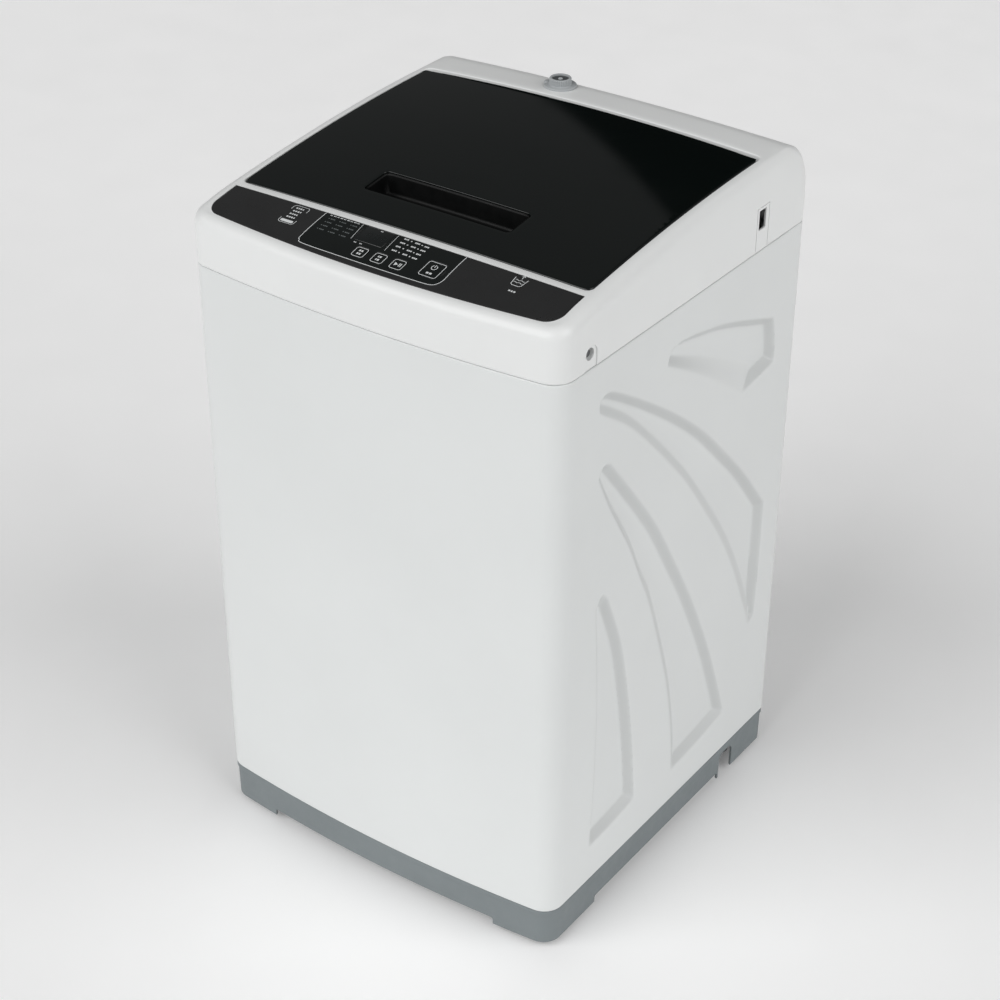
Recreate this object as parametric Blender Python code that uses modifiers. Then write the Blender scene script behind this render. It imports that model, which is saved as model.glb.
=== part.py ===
"""Top load washing machine, in metres, +Z up, front towards -Y, standing on z = 0.

Every piece of the machine is one named object in the collection top_load_washer.
"""

import math

import bmesh
import bpy
from mathutils import Matrix, Vector

# Cabinet
WIDTH = 0.500
DEPTH = 0.515
HALF_W = WIDTH / 2
HALF_D = DEPTH / 2
BASE_BOTTOM = 0.008  # what the feet stand below the base
BASE_TOP = 0.0585
SEAM = 0.764  # joint between the steel cabinet and the plastic top frame
FRONT_BOW = 0.0146  # how far the front face falls back at its two ends
FRONT_CORNER = 0.026
BACK_CORNER = 0.010
SHEET = 0.0008
GAP = 0.0003  # between pieces that touch
SKIN = 0.0025  # moulded plastic wall
LID_SKIN = 0.0020  # the thinner wall of the gloss lid

# Curved top
ARC_TOP_Y = 0.22
ARC_TOP_Z = 0.8657
ARC_RADIUS = 2.75
SHOULDER = 0.012  # rounding from the top into the sides and the front
REAR_ROUND = 0.045  # rounding from the deck into the back
LID_HALF_W = 0.2315
LID_FRONT_Y = -0.168
LID_CORNER = 0.008
RECESS_HALF_W = 0.2325
RECESS_FRONT_Y = -0.1688
DECK_FRONT_Y = 0.174
SHELF_DEPTH = 0.0225
HINGE_Y = 0.1575
HINGE_Z = 0.8595
HINGE_PIN_R = 0.0030
LID_SKIRT = 0.010
LID_ROLL = (0.0161, 0.0100)  # radius of the lid's rear edge about the hinge line, middle and ends

# Loading mouth
MOUTH_HALF_X = 0.185
MOUTH_HALF_Y = 0.150
NECK_RADIUS = 0.160
NECK_BOTTOM = 0.7205

# Control panel
FASCIA_HALF_W = 0.2325
FASCIA_BACK_Y = -0.1785
FASCIA_INSET = 0.0145
FASCIA_CORNER = 0.018
FASCIA_THICK = 0.0025
BUTTON_Y = -0.2215
BUTTON_SIZE = (0.017, 0.016)
BUTTON_XS = {"program_button": -0.0225, "water_level_button": 0.0026, "start_button": 0.0277}
POWER_CENTRE = (0.0667, -0.2131)
POWER_SIZE = (0.024, 0.025)
DISPLAY_BOX = ((-0.044, -0.206), (-0.006, -0.180))

# Tub, basket and drive, all about the vertical axis x = y = 0
TUB_R = 0.216
TUB_BOTTOM = 0.235
TUB_TOP = 0.690
BASKET_R = 0.198
BASKET_BOTTOM = 0.262
BASKET_TOP = 0.660
ROD_X = 0.200
ROD_Y = 0.205
ROD_R = 0.004
LUG_BOTTOM = 0.205
HANGER_Z = 0.7345
SPRING_BOTTOM = 0.1155
MOTOR_X = 0.125
BELT_Z = 0.086
DRIVE_GROOVE_R = 0.0640
MOTOR_GROOVE_R = DRIVE_GROOVE_R / 1.9
BELT_WIDTH = 0.009
BELT_THICK = 0.006

# Feet
FOOT_X = 0.205
FOOT_Y = 0.210
FOOT_R = 0.018

# Water inlet
INLET_X = -0.060
INLET_Y = 0.205
INLET_R = 0.0132
INLET_TOP = 0.0115  # above the deck

COLLECTION = "top_load_washer"

WHITE = ("white_plastic", (0.80, 0.81, 0.81), 0.35, 0.0)
PAINT = ("white_painted_steel", (0.76, 0.78, 0.78), 0.35, 0.0)
GREY = ("grey_plastic", (0.24, 0.27, 0.28), 0.55, 0.0)
BLACK_GLOSS = ("black_gloss_lid", (0.006, 0.008, 0.008), 0.08, 0.0)
FASCIA = ("charcoal_fascia", (0.022, 0.022, 0.022), 0.3, 0.0)
DISPLAY = ("smoked_display", (0.01, 0.012, 0.012), 0.1, 0.0)
BOARD = ("circuit_board", (0.05, 0.2, 0.08), 0.6, 0.0)
TUB = ("tub_plastic", (0.62, 0.64, 0.65), 0.5, 0.0)
STEEL = ("stainless_steel", (0.6, 0.6, 0.61), 0.3, 1.0)
ZINC = ("zinc_steel", (0.45, 0.46, 0.48), 0.4, 1.0)
CAST = ("cast_aluminium", (0.5, 0.51, 0.52), 0.5, 1.0)
RUBBER = ("black_rubber", (0.02, 0.02, 0.02), 0.8, 0.0)
BLUE = ("blue_plastic", (0.12, 0.3, 0.55), 0.45, 0.0)


# ---------------------------------------------------------------- scene helpers


def clear_scene():
    for obj in list(bpy.data.objects):
        bpy.data.objects.remove(obj, do_unlink=True)
    for name in (COLLECTION, "cutters"):
        collection = bpy.data.collections.new(name)
        bpy.context.scene.collection.children.link(collection)


def material(spec):
    name, colour, roughness, metallic = spec
    if name in bpy.data.materials:
        return bpy.data.materials[name]
    made = bpy.data.materials.new(name)
    made.use_nodes = True
    shader = made.node_tree.nodes["Principled BSDF"]
    shader.inputs["Base Color"].default_value = (*colour, 1.0)
    shader.inputs["Roughness"].default_value = roughness
    shader.inputs["Metallic"].default_value = metallic
    return made


def place(obj, spec):
    """Puts an object in the machine's collection, or among the cutters when it has no material."""
    for collection in list(obj.users_collection):
        collection.objects.unlink(obj)
    if spec is None:
        bpy.data.collections["cutters"].objects.link(obj)
        obj.hide_render = True
        obj.display_type = "WIRE"
        return obj
    bpy.data.collections[COLLECTION].objects.link(obj)
    obj.data.materials.clear()
    obj.data.materials.append(material(spec))
    if obj.type == "MESH":
        obj.data.shade_smooth()
        obj.data.set_sharp_from_angle(angle=math.radians(35))
    return obj


def mesh_object(name, bm, spec):
    mesh = bpy.data.meshes.new(name)
    bm.to_mesh(mesh)
    bm.free()
    return place(bpy.data.objects.new(name, mesh), spec)


def box(name, low, high, spec=None, bevel=0.0):
    bm = bmesh.new()
    bmesh.ops.create_cube(bm, size=1.0)
    size = [h - l for l, h in zip(low, high)]
    centre = [(h + l) / 2 for l, h in zip(low, high)]
    bmesh.ops.scale(bm, vec=size, verts=bm.verts)
    bmesh.ops.translate(bm, vec=centre, verts=bm.verts)
    obj = mesh_object(name, bm, spec)
    if bevel:
        rounding = obj.modifiers.new("rounding", "BEVEL")
        rounding.width = bevel
        rounding.segments = 2
    return obj


def cylinder(name, centre, radius, length, spec=None, axis="Z", steps=24):
    bm = bmesh.new()
    bmesh.ops.create_cone(bm, cap_ends=True, segments=steps, radius1=radius, radius2=radius, depth=length)
    turns = {"Z": Matrix(), "X": Matrix.Rotation(math.pi / 2, 4, "Y"), "Y": Matrix.Rotation(math.pi / 2, 4, "X")}
    bmesh.ops.transform(bm, matrix=Matrix.Translation(centre) @ turns[axis], verts=bm.verts)
    return mesh_object(name, bm, spec)


def turned(name, profile, spec=None, centre=(0, 0), steps=40, closed=True):
    """Turns a profile of (radius, z) points about a vertical axis; a closed profile makes a ring."""
    around = zip(profile, profile[1:] + profile[:1])
    if sum(r0 * z1 - r1 * z0 for (r0, z0), (r1, z1) in around) > 0:
        profile = profile[::-1]
    bm = bmesh.new()
    points = [bm.verts.new((radius, 0, z)) for radius, z in profile]
    for a, b in zip(points, points[1:]):
        bm.edges.new((a, b))
    if closed:
        bm.edges.new((points[-1], points[0]))
    obj = mesh_object(name, bm, spec)
    obj.location = (*centre, 0)
    screw = obj.modifiers.new("turning", "SCREW")
    screw.steps = screw.render_steps = steps
    screw.use_merge_vertices = True
    screw.merge_threshold = 0.0001
    screw.use_smooth_shade = True
    return obj


def tube(name, points, radius, spec, sides=2):
    curve = bpy.data.curves.new(name, "CURVE")
    curve.dimensions = "3D"
    curve.bevel_depth = radius
    curve.bevel_resolution = sides
    curve.use_fill_caps = True
    spline = curve.splines.new("POLY")
    spline.points.add(len(points) - 1)
    for point, place_at in zip(spline.points, points):
        point.co = (*place_at, 1.0)
    return place(bpy.data.objects.new(name, curve), spec)


def plate(name, outlines, z_low, z_high, spec=None):
    """A flat plate between two heights; the outlines after the first are its holes."""
    curve = bpy.data.curves.new(name, "CURVE")
    curve.dimensions = "2D"
    curve.fill_mode = "BOTH"
    curve.extrude = (z_high - z_low) / 2
    for outline in outlines:
        spline = curve.splines.new("POLY")
        spline.points.add(len(outline) - 1)
        spline.use_cyclic_u = True
        for point, (x, y) in zip(spline.points, outline):
            point.co = (x, y, 0, 1)
    flat = bpy.data.objects.new(name + "_outline", curve)
    flat.location.z = (z_low + z_high) / 2
    bpy.context.scene.collection.objects.link(flat)
    bpy.context.view_layer.update()
    evaluated = flat.evaluated_get(bpy.context.evaluated_depsgraph_get())
    bm = bmesh.new()
    bm.from_mesh(bpy.data.meshes.new_from_object(evaluated))
    bmesh.ops.remove_doubles(bm, verts=bm.verts, dist=1e-6)
    bmesh.ops.transform(bm, matrix=flat.matrix_world, verts=bm.verts)
    bmesh.ops.recalc_face_normals(bm, faces=bm.faces)
    bpy.data.objects.remove(flat, do_unlink=True)
    return mesh_object(name, bm, spec)


def skin(name, rows, spec, thickness, around=False, cap_last=False, outward=False):
    """A sheet through rows of points, thickened away from its outer side (or outward)."""
    bm = bmesh.new()
    grid = [[bm.verts.new(point) for point in row] for row in rows]
    count = len(rows[0])
    for lower, upper in zip(grid, grid[1:]):
        for i in range(count if around else count - 1):
            j = (i + 1) % count
            bm.faces.new((lower[i], lower[j], upper[j], upper[i]))
    if cap_last:
        bm.faces.new(grid[-1])
    bmesh.ops.remove_doubles(bm, verts=bm.verts, dist=1e-6)
    obj = mesh_object(name, bm, spec)
    shell = obj.modifiers.new("wall", "SOLIDIFY")
    shell.thickness = thickness
    shell.offset = 1 if outward else -1
    return obj


def slab(name, rows, spec, thickness):
    """A sheet through rows of points with its underside straight below it."""
    bm = bmesh.new()
    grid = [[bm.verts.new(point) for point in row] for row in rows]
    for near, far in zip(grid, grid[1:]):
        for i in range(len(near) - 1):
            bm.faces.new((near[i], near[i + 1], far[i + 1], far[i]))
    under = bmesh.ops.extrude_face_region(bm, geom=list(bm.faces))["geom"]
    moved = [part for part in under if isinstance(part, bmesh.types.BMVert)]
    bmesh.ops.translate(bm, vec=(0, 0, -thickness), verts=moved)
    bmesh.ops.recalc_face_normals(bm, faces=list(bm.faces))
    return mesh_object(name, bm, spec)


def boolean(obj, other, operation, folded=False):
    step = obj.modifiers.new(other.name, "BOOLEAN")
    step.operation = operation
    step.object = other
    step.solver = "EXACT"
    step.use_self = folded


def cut(obj, *cutters, folded=False):
    """Cuts holes; a folded sheet is one whose inner faces cross in its corners."""
    for cutter in cutters:
        boolean(obj, cutter, "DIFFERENCE", folded)


def join(obj, *others):
    for other in others:
        boolean(obj, other, "UNION")


def circle(x, y, radius, steps=16):
    turn = 2 * math.pi / steps
    return [(x + radius * math.cos(i * turn), y + radius * math.sin(i * turn)) for i in range(steps)]


def rounded_rectangle(low, high, radius, steps=3):
    """Corner arcs of a rectangle in plan, anticlockwise from its low corner."""
    outline = []
    corners = (
        (low[0] + radius, low[1] + radius, 180),
        (high[0] - radius, low[1] + radius, 270),
        (high[0] - radius, high[1] - radius, 0),
        (low[0] + radius, high[1] - radius, 90),
    )
    for x, y, start in corners:
        for i in range(steps + 1):
            angle = math.radians(start + 90 * i / steps)
            outline.append((x + radius * math.cos(angle), y + radius * math.sin(angle)))
    return outline


def spaced(low, high, count):
    return [low + (high - low) * i / count for i in range(count + 1)]


# ---------------------------------------------------------------- shared surfaces


def front_y(x):
    """The bowed front face."""
    return -HALF_D + FRONT_BOW * (x / HALF_W) ** 2


def plan_outline(front_steps=8, side_ys=(), back_steps=1, corner_steps=4):
    """Points (x, y) and outward normals of the cabinet in plan, anticlockwise from the front's middle."""
    corner_x = HALF_W - FRONT_CORNER
    slope = 2 * FRONT_BOW * corner_x / HALF_W**2
    start = math.atan2(-1, slope)
    arc_x = corner_x + FRONT_CORNER * math.cos(start)
    corner_y = front_y(arc_x) - FRONT_CORNER * math.sin(start)
    half = []
    for x in spaced(0, arc_x, front_steps)[:-1]:
        normal = Vector((2 * FRONT_BOW * x / HALF_W**2, -1)).normalized()
        half.append((x, front_y(x), *normal))
    for angle in spaced(start, 0, corner_steps):
        c, s = math.cos(angle), math.sin(angle)
        half.append((corner_x + FRONT_CORNER * c, corner_y + FRONT_CORNER * s, c, s))
    half += [(HALF_W, y, 1.0, 0.0) for y in side_ys]
    for angle in spaced(0, math.pi / 2, 3):
        c, s = math.cos(angle), math.sin(angle)
        half.append((HALF_W - BACK_CORNER + BACK_CORNER * c, HALF_D - BACK_CORNER + BACK_CORNER * s, c, s))
    half += [(x, HALF_D, 0.0, 1.0) for x in spaced(HALF_W - BACK_CORNER, 0, back_steps)[1:]]
    left = [(-x, y, -nx, ny) for x, y, nx, ny in reversed(half[1:-1])]
    return half + left


def inset_plan(outline, inset):
    return [(x - nx * inset, y - ny * inset) for x, y, nx, ny in outline]


def lid_line(y):
    """Height of the top edge seen from the side, a long arc that falls towards the front."""
    fall = max(0.0, -0.18 - y) ** 2
    return ARC_TOP_Z - (y - ARC_TOP_Y) ** 2 / (2 * ARC_RADIUS) - fall


def crown(y):
    """How far the middle of the top stands above its sides."""
    if y > 0.161:
        return 0.0080 - 0.05 * (y - 0.161)
    return 0.0015 + 0.0161 * (y + 0.243)


def top_height(x, y):
    return lid_line(y) + crown(y) * (1 - (x / LID_HALF_W) ** 2)


def ray_to_rectangle(angle, half_w, low_y, high_y):
    """Where a ray from the middle meets a rectangle in plan."""
    c, s = math.cos(angle), math.sin(angle)
    reach = half_w / abs(c) if abs(c) > 1e-9 else math.inf
    edge = high_y if s > 0 else -low_y
    if abs(s) > 1e-9:
        reach = min(reach, edge / abs(s))
    return (reach * c, reach * s)


def ray_to_shoulder(angle):
    """Where the flat of the top ends: a rectangle whose front edge is bowed like the front face."""
    x, y = ray_to_rectangle(angle, HALF_W - SHOULDER, -(HALF_D - SHOULDER), HALF_D - REAR_ROUND)
    for _ in range(6):
        front = front_y(x) + SHOULDER
        if y >= front:
            break
        x, y = x * front / y, front
    return (x, y)


def ray_to_mouth(angle):
    power = 4
    c, s = abs(math.cos(angle)) / MOUTH_HALF_X, abs(math.sin(angle)) / MOUTH_HALF_Y
    reach = (c**power + s**power) ** (-1 / power)
    return (reach * math.cos(angle), reach * math.sin(angle))


# ---------------------------------------------------------------- cabinet


def cabinet_shell():
    """The steel wrap: front, two sides and the narrow returns at the back."""
    outline = plan_outline(front_steps=8)
    back_middle = outline.index((0, HALF_D, 0.0, 1.0))
    strip = outline[back_middle + 1 :] + outline[:back_middle]
    return_x = HALF_W - 0.028
    strip = [(-return_x, HALF_D, 0.0, 1.0), *strip, (return_x, HALF_D, 0.0, 1.0)]
    rows = [[(x, y, z) for x, y, _, _ in strip] for z in (BASE_TOP + GAP, SEAM - GAP)]
    shell = skin("cabinet_shell", rows, PAINT, SHEET)
    for sx in (-1, 1):
        for sy in (-1, 1):
            join(shell, hanger_bracket(f"hanger_bracket_{sx}_{sy}", sx, sy))
            hole = cylinder(f"hanger_hole_{sx}_{sy}", (sx * ROD_X, sy * ROD_Y, HANGER_Z), ROD_R + 0.002, 0.02)
            cut(shell, hole)
    return shell


def rear_panel():
    """A sheet with pressed ribs across it, screwed inside the wrap's returns."""
    y = HALF_D - SHEET - GAP
    rib, rows = 0.004, []
    for z in spaced(BASE_TOP + 0.002, SEAM - 0.003, 4):
        if BASE_TOP + 0.01 < z < SEAM - 0.01:
            rows += [(z - 0.020, 0.0), (z - 0.014, rib), (z + 0.014, rib), (z + 0.020, 0.0)]
        else:
            rows.append((z, 0.0))
    xs = spaced(-(HALF_W - 0.012), HALF_W - 0.012, 1)
    points = [[(x, y - depth, z) for x in reversed(xs)] for z, depth in rows]
    return skin("rear_panel", points, PAINT, SHEET)


def base_frame():
    """The grey skirt: a wall with a flange inside its top, cut up between the corner blocks."""
    outline = plan_outline(front_steps=8)
    rows = []
    for inset, z in ((0.0030, BASE_BOTTOM), (0.0022, BASE_TOP - 0.004), (0.0030, BASE_TOP)):
        rows.append([(x, y, z) for x, y in inset_plan(outline, inset)])
    base = skin("base_frame", rows, GREY, 0.003, around=True)
    inner = rounded_rectangle((-0.200, -0.205), (0.200, 0.205), 0.030)
    join(base, plate("base_flange", [inset_plan(outline, 0.0040), inner], BASE_TOP - 0.0035, BASE_TOP - 0.0005))
    lift = BASE_BOTTOM + 0.0102
    arch_top = 0.045
    cuts = (
        ("base_front_gap", (-0.170, -0.3, -0.01), (0.170, -0.2, lift)),
        ("base_back_gap", (-0.170, 0.2, -0.01), (0.170, 0.3, lift)),
        ("base_side_gap", (-0.3, -0.145, -0.01), (0.3, 0.143, lift)),
        ("base_hose_arch", (0.2, 0.146, -0.01), (0.3, 0.178, arch_top)),
    )
    for x in (-FOOT_X, FOOT_X):
        for y in (-FOOT_Y, FOOT_Y):
            side = ("right" if x > 0 else "left") + ("_back" if y > 0 else "_front")
            join(base, cylinder(f"base_boss_{side}", (x, y, 0.0345), 0.014, 0.047, steps=16))
            cut(base, cylinder(f"base_bore_{side}", (x, y, 0.020), 0.0056, 0.05, steps=12))
    for name, low, high in cuts:
        cut(base, box(name, low, high))
    return base


def foot(name, x, y):
    """A levelling foot: a rubber-soled disc on a threaded stud."""
    stud, top = 0.005, 0.040
    profile = [
        (0, top), (stud, top), (stud, 0.0075), (FOOT_R - 0.002, 0.0075), (FOOT_R, 0.0055), (FOOT_R, 0), (0, 0),
    ]
    return turned(name, profile, RUBBER, (x, y), 16, closed=False)


def hanger_bracket(name, sx, sy):
    """A corner plate that a suspension rod hangs from."""
    reach, corner = 0.085, 0.030
    edge_x = HALF_W - SHEET / 2
    edge_y = HALF_D - 0.003 if sy > 0 else -front_y(edge_x - corner) - SHEET / 2
    outline = [(edge_x, edge_y - reach), (edge_x, edge_y - corner), (edge_x - corner, edge_y), (edge_x - reach, edge_y)]
    outline = [(sx * x, sy * y) for x, y in outline]
    return plate(name, [outline], HANGER_Z - 0.0015, HANGER_Z + 0.0015)


def suspension_rod(name, x, y):
    head, end = 0.0095, 0.016
    profile = [
        (0, 0.748), (head * 0.7, 0.7455), (head, 0.7405), (head, 0.7363), (ROD_R, 0.7363), (ROD_R, 0.1152),
        (end, 0.1152), (end, 0.112), (0, 0.112),
    ]
    return turned(name, profile, ZINC, (x, y), 12, closed=False)


def suspension_spring(name, x, y):
    turns, per_turn, radius, wire = 5, 7, 0.0115, 0.0016
    low, high = SPRING_BOTTOM + wire + 0.0002, LUG_BOTTOM - wire - 0.0005
    count = turns * per_turn
    points = []
    for i in range(count + 1):
        angle = 2 * math.pi * i / per_turn
        z = low + (high - low) * i / count
        points.append((x + radius * math.cos(angle), y + radius * math.sin(angle), z))
    return tube(name, points, wire, ZINC, sides=0)


# ---------------------------------------------------------------- top frame


def top_frame():
    """The white moulding on top: sides, rear deck, lid recess and the neck down to the basket."""
    side_ys = (-0.187, -0.176, -0.130, -0.080, -0.020, 0.040, 0.090, 0.135, 0.180, 0.194, 0.225)
    outline = plan_outline(front_steps=7, side_ys=side_ys, back_steps=5, corner_steps=4)
    angles = [math.atan2(y, x) for x, y, _, _ in outline]
    rows = [[(x, y, SEAM + GAP) for x, y, _, _ in outline]]
    shoulder = [ray_to_shoulder(angle) for angle in angles]
    for turn in (0, 45, 90):
        c, s = math.cos(math.radians(turn)), math.sin(math.radians(turn))
        row = []
        for (ox, oy, _, _), (sx, sy) in zip(outline, shoulder):
            drop = math.hypot(ox - sx, oy - sy)
            x, y = ox + (sx - ox) * (1 - c), oy + (sy - oy) * (1 - c)
            row.append((x, y, top_height(sx, sy) - drop * (1 - s)))
        rows.append(row)
    recess = [ray_to_rectangle(a, RECESS_HALF_W, RECESS_FRONT_Y, DECK_FRONT_Y) for a in angles]
    mouth = [ray_to_mouth(a) for a in angles]
    rows.append([(x, y, top_height(x, y)) for x, y in recess])
    rows.append([(x, y, lid_line(y) - SHELF_DEPTH) for x, y in recess])
    rows.append([(x, y, lid_line(y) - SHELF_DEPTH) for x, y in mouth])
    rows.append([(NECK_RADIUS * math.cos(a), NECK_RADIUS * math.sin(a), NECK_BOTTOM) for a in angles])
    frame = skin("top_frame", rows, WHITE, SKIN, around=True)
    deck_z = top_height(INLET_X, INLET_Y)
    window = fascia_outline(FASCIA_HALF_W + GAP, FASCIA_BACK_Y + GAP, FASCIA_INSET - GAP)
    cut(
        frame,
        plate("fascia_window", [window], 0.79, 0.87),
        cylinder("inlet_hole", (INLET_X, INLET_Y, deck_z - 0.01), 0.0155, 0.04, steps=20),
        box("rear_window", (-0.150, HALF_D - 0.01, 0.772), (0.150, HALF_D + 0.01, 0.812)),
        box("duct_window", (-0.0455, 0.140, 0.7895), (0.0455, 0.170, 0.8065)),
        box("side_slot", (HALF_W - 0.01, 0.145, 0.791), (HALF_W + 0.01, 0.160, 0.815)),
        cylinder("hinge_hole_right", (0.237, HINGE_Y, HINGE_Z), HINGE_PIN_R + 0.0004, 0.016, axis="X", steps=16),
        cylinder("hinge_hole_left", (-0.237, HINGE_Y, HINGE_Z), HINGE_PIN_R + 0.0004, 0.016, axis="X", steps=16),
    )
    for side, sx in (("right", 1), ("left", -1)):
        xs = sorted((sx * 0.2385, sx * 0.2485))
        join(frame, box(f"screw_boss_{side}", (xs[0], -0.203, 0.7655), (xs[1], -0.178, 0.796)))
        bore = cylinder(f"screw_recess_{side}", (sx * 0.249, -0.191, 0.7816), 0.0072, 0.012, axis="X", steps=20)
        hole = cylinder(f"screw_hole_{side}", (sx * 0.240, -0.191, 0.7816), 0.0024, 0.02, axis="X", steps=12)
        cut(frame, bore, hole)
    return frame


def side_screw(name, sx):
    """A pan-head screw that ties the top frame to the cabinet, sunk in its round recess."""
    profile = [(0, 0.0030), (0.004, 0.0026), (0.0055, 0.0012), (0.0055, 0), (0.002, 0), (0.002, -0.012), (0, -0.013)]
    screw = turned(name, profile, ZINC, steps=16, closed=False)
    screw.rotation_euler = (0, sx * math.pi / 2, 0)
    screw.location = (sx * 0.24335, -0.191, 0.7816)
    return screw


def rear_service_cover():
    return box(
        "rear_service_cover", (-0.1495, HALF_D - 0.0024, 0.7725), (0.1495, HALF_D - 0.0002, 0.8115), WHITE, 0.0004
    )


def lid_bumper(name, x):
    """A rubber stop on the shelf, just under the lid's skirt."""
    y = -0.158
    low = lid_line(y) - SHELF_DEPTH + 0.0012
    high = top_height(x, y) - LID_SKIRT - 0.0022
    profile = [(0, high), (0.0035, high), (0.0042, high - 0.001), (0.0048, low), (0, low)]
    return turned(name, profile, RUBBER, (x, y), 12, closed=False)


# ---------------------------------------------------------------- control panel


def fascia_front_y(x, inset, half_w):
    """Front edge of the panel, bowed like the cabinet, with rounded corners."""
    bowed = front_y(x) + inset
    corner_x = half_w - FASCIA_CORNER
    if abs(x) <= corner_x:
        return bowed
    run = min(1.0, (abs(x) - corner_x) / FASCIA_CORNER)
    return bowed + FASCIA_CORNER * (1 - math.sqrt(1 - run * run))


def fascia_stations(half_w):
    corner_x = half_w - FASCIA_CORNER
    corner = [corner_x + FASCIA_CORNER * math.sin(math.radians(a)) for a in (0, 22, 45, 67, 90)]
    right = spaced(0, corner_x, 7)[1:-1] + corner
    return [-x for x in reversed(right)] + [0.0] + right


def fascia_outline(half_w, back_y, inset):
    xs = fascia_stations(half_w)
    return [(x, fascia_front_y(x, inset, half_w)) for x in xs] + [(half_w, back_y), (-half_w, back_y)]


def control_fascia():
    xs = fascia_stations(FASCIA_HALF_W)
    rows = []
    for part in (0, 0.5, 1):
        row = []
        for x in xs:
            front = fascia_front_y(x, FASCIA_INSET, FASCIA_HALF_W)
            y = front + (FASCIA_BACK_Y - front) * part
            row.append((x, y, top_height(x, y)))
        rows.append(row)
    fascia = slab("control_fascia", rows, FASCIA, FASCIA_THICK)
    for name, low, high in button_boxes():
        hole = rounded_rectangle([v - 0.0004 for v in low], [v + 0.0004 for v in high], 0.0034)
        cut(fascia, plate(name + "_hole", [hole], 0.79, 0.87))
    low, high = DISPLAY_BOX
    cut(fascia, plate("display_hole", [rounded_rectangle(low, high, 0.002)], 0.79, 0.87))
    return fascia


def button_boxes():
    """Name and plan corners of each push button."""
    boxes = []
    for name, x in BUTTON_XS.items():
        w, d = BUTTON_SIZE
        boxes.append((name, (x - w / 2, BUTTON_Y - d / 2), (x + w / 2, BUTTON_Y + d / 2)))
    (x, y), (w, d) = POWER_CENTRE, POWER_SIZE
    boxes.append(("power_button", (x - w / 2, y - d / 2), (x + w / 2, y + d / 2)))
    return boxes


def panel_pad(name, low, high, spec, radius, thick):
    """A pad whose face lies in the curved panel."""
    outline = rounded_rectangle(low, high, radius)
    bm = bmesh.new()
    top = [bm.verts.new((x, y, top_height(x, y))) for x, y in outline]
    bottom = [bm.verts.new((x, y, top_height(x, y) - thick)) for x, y in outline]
    bm.faces.new(top)
    bm.faces.new(reversed(bottom))
    count = len(outline)
    for i in range(count):
        j = (i + 1) % count
        bm.faces.new((bottom[i], bottom[j], top[j], top[i]))
    return mesh_object(name, bm, spec)


def control_tray():
    """The tray under the panel that holds the electronics."""
    tray = box("control_tray", (-0.150, -0.2300, 0.7900), (0.150, -0.1800, 0.8120), GREY)
    cut(tray, box("tray_inside", (-0.148, -0.2280, 0.7920), (0.148, -0.1820, 0.83)))
    return tray


def control_board():
    board = box("control_board", (-0.100, -0.2260, 0.7990), (0.110, -0.1840, 0.8006), BOARD)
    join(
        board,
        box("board_transformer", (0.070, -0.2200, 0.8000), (0.100, -0.1950, 0.8090)),
        box("board_driver", (-0.085, -0.2150, 0.8000), (-0.060, -0.1950, 0.8050)),
    )
    return board


# ---------------------------------------------------------------- lid


def lid_panel():
    """The gloss lid: a curved skin with a skirt, rolled down about the hinge line at the back."""
    corner_x = LID_HALF_W - LID_CORNER
    corner = [(corner_x + LID_CORNER * math.sin(a), LID_CORNER * (1 - math.cos(a))) for a in spaced(0, math.pi / 2, 2)]
    right = [(x, 0.0) for x in spaced(0, corner_x, 5)[1:-1]] + corner
    columns = []
    for x, fall in [(-x, fall) for x, fall in reversed(right)] + [(0.0, 0.0)] + right:
        front = LID_FRONT_Y + fall
        column = [(x, front, top_height(x, front) - LID_SKIRT)]
        column.append((x, front, top_height(x, front) - 0.002))
        column += [(x, y, top_height(x, y)) for y in spaced(front + 0.002, HINGE_Y, 6)]
        middle, end = LID_ROLL
        radius = middle + (end - middle) * (x / LID_HALF_W) ** 2
        start = math.acos((top_height(x, HINGE_Y) - HINGE_Z) / radius)
        for angle in spaced(start, math.pi / 2, 3):
            column.append((x, HINGE_Y + radius * math.sin(angle), HINGE_Z + radius * math.cos(angle)))
        columns.append(column)
    for end in (0, -1):
        low = [(x, y, min(z, top_height(x, y) - LID_SKIRT)) for x, y, z in columns[end]]
        low = [(x, y, z if y <= HINGE_Y else HINGE_Z - 0.0045) for x, y, z in low]
        columns.insert(0 if end == 0 else len(columns), low)
    lid = skin("lid_panel", [list(reversed(column)) for column in columns], BLACK_GLOSS, LID_SKIN)
    cut(lid, plate("handle_hole", [rounded_rectangle(*handle_box(0.0022), 0.004)], 0.80, 0.90), folded=True)
    for side, sx in (("right", 1), ("left", -1)):
        where = (sx * 0.230, HINGE_Y, HINGE_Z)
        hole = cylinder(f"pin_hole_{side}", where, HINGE_PIN_R + GAP, 0.010, axis="X", steps=16)
        cut(lid, hole, folded=True)
    return lid


def handle_box(grow):
    return (-0.098 - grow, -0.1205 - grow), (0.098 + grow, -0.0785 + grow)


def lid_inner_panel():
    """The white moulding that closes the lid's underside, round the finger pocket."""
    xs = spaced(-0.2255, 0.2255, 8)
    rows = []
    for y in spaced(LID_FRONT_Y + 0.0055, HINGE_Y - 0.012, 6):
        rows.append([(x, y, top_height(x, y) - 0.0065) for x in xs])
    panel = slab("lid_inner_panel", rows, WHITE, 0.0015)
    cut(panel, plate("inner_handle_hole", [rounded_rectangle(*handle_box(0.0022), 0.004)], 0.80, 0.90))
    return panel


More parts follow.
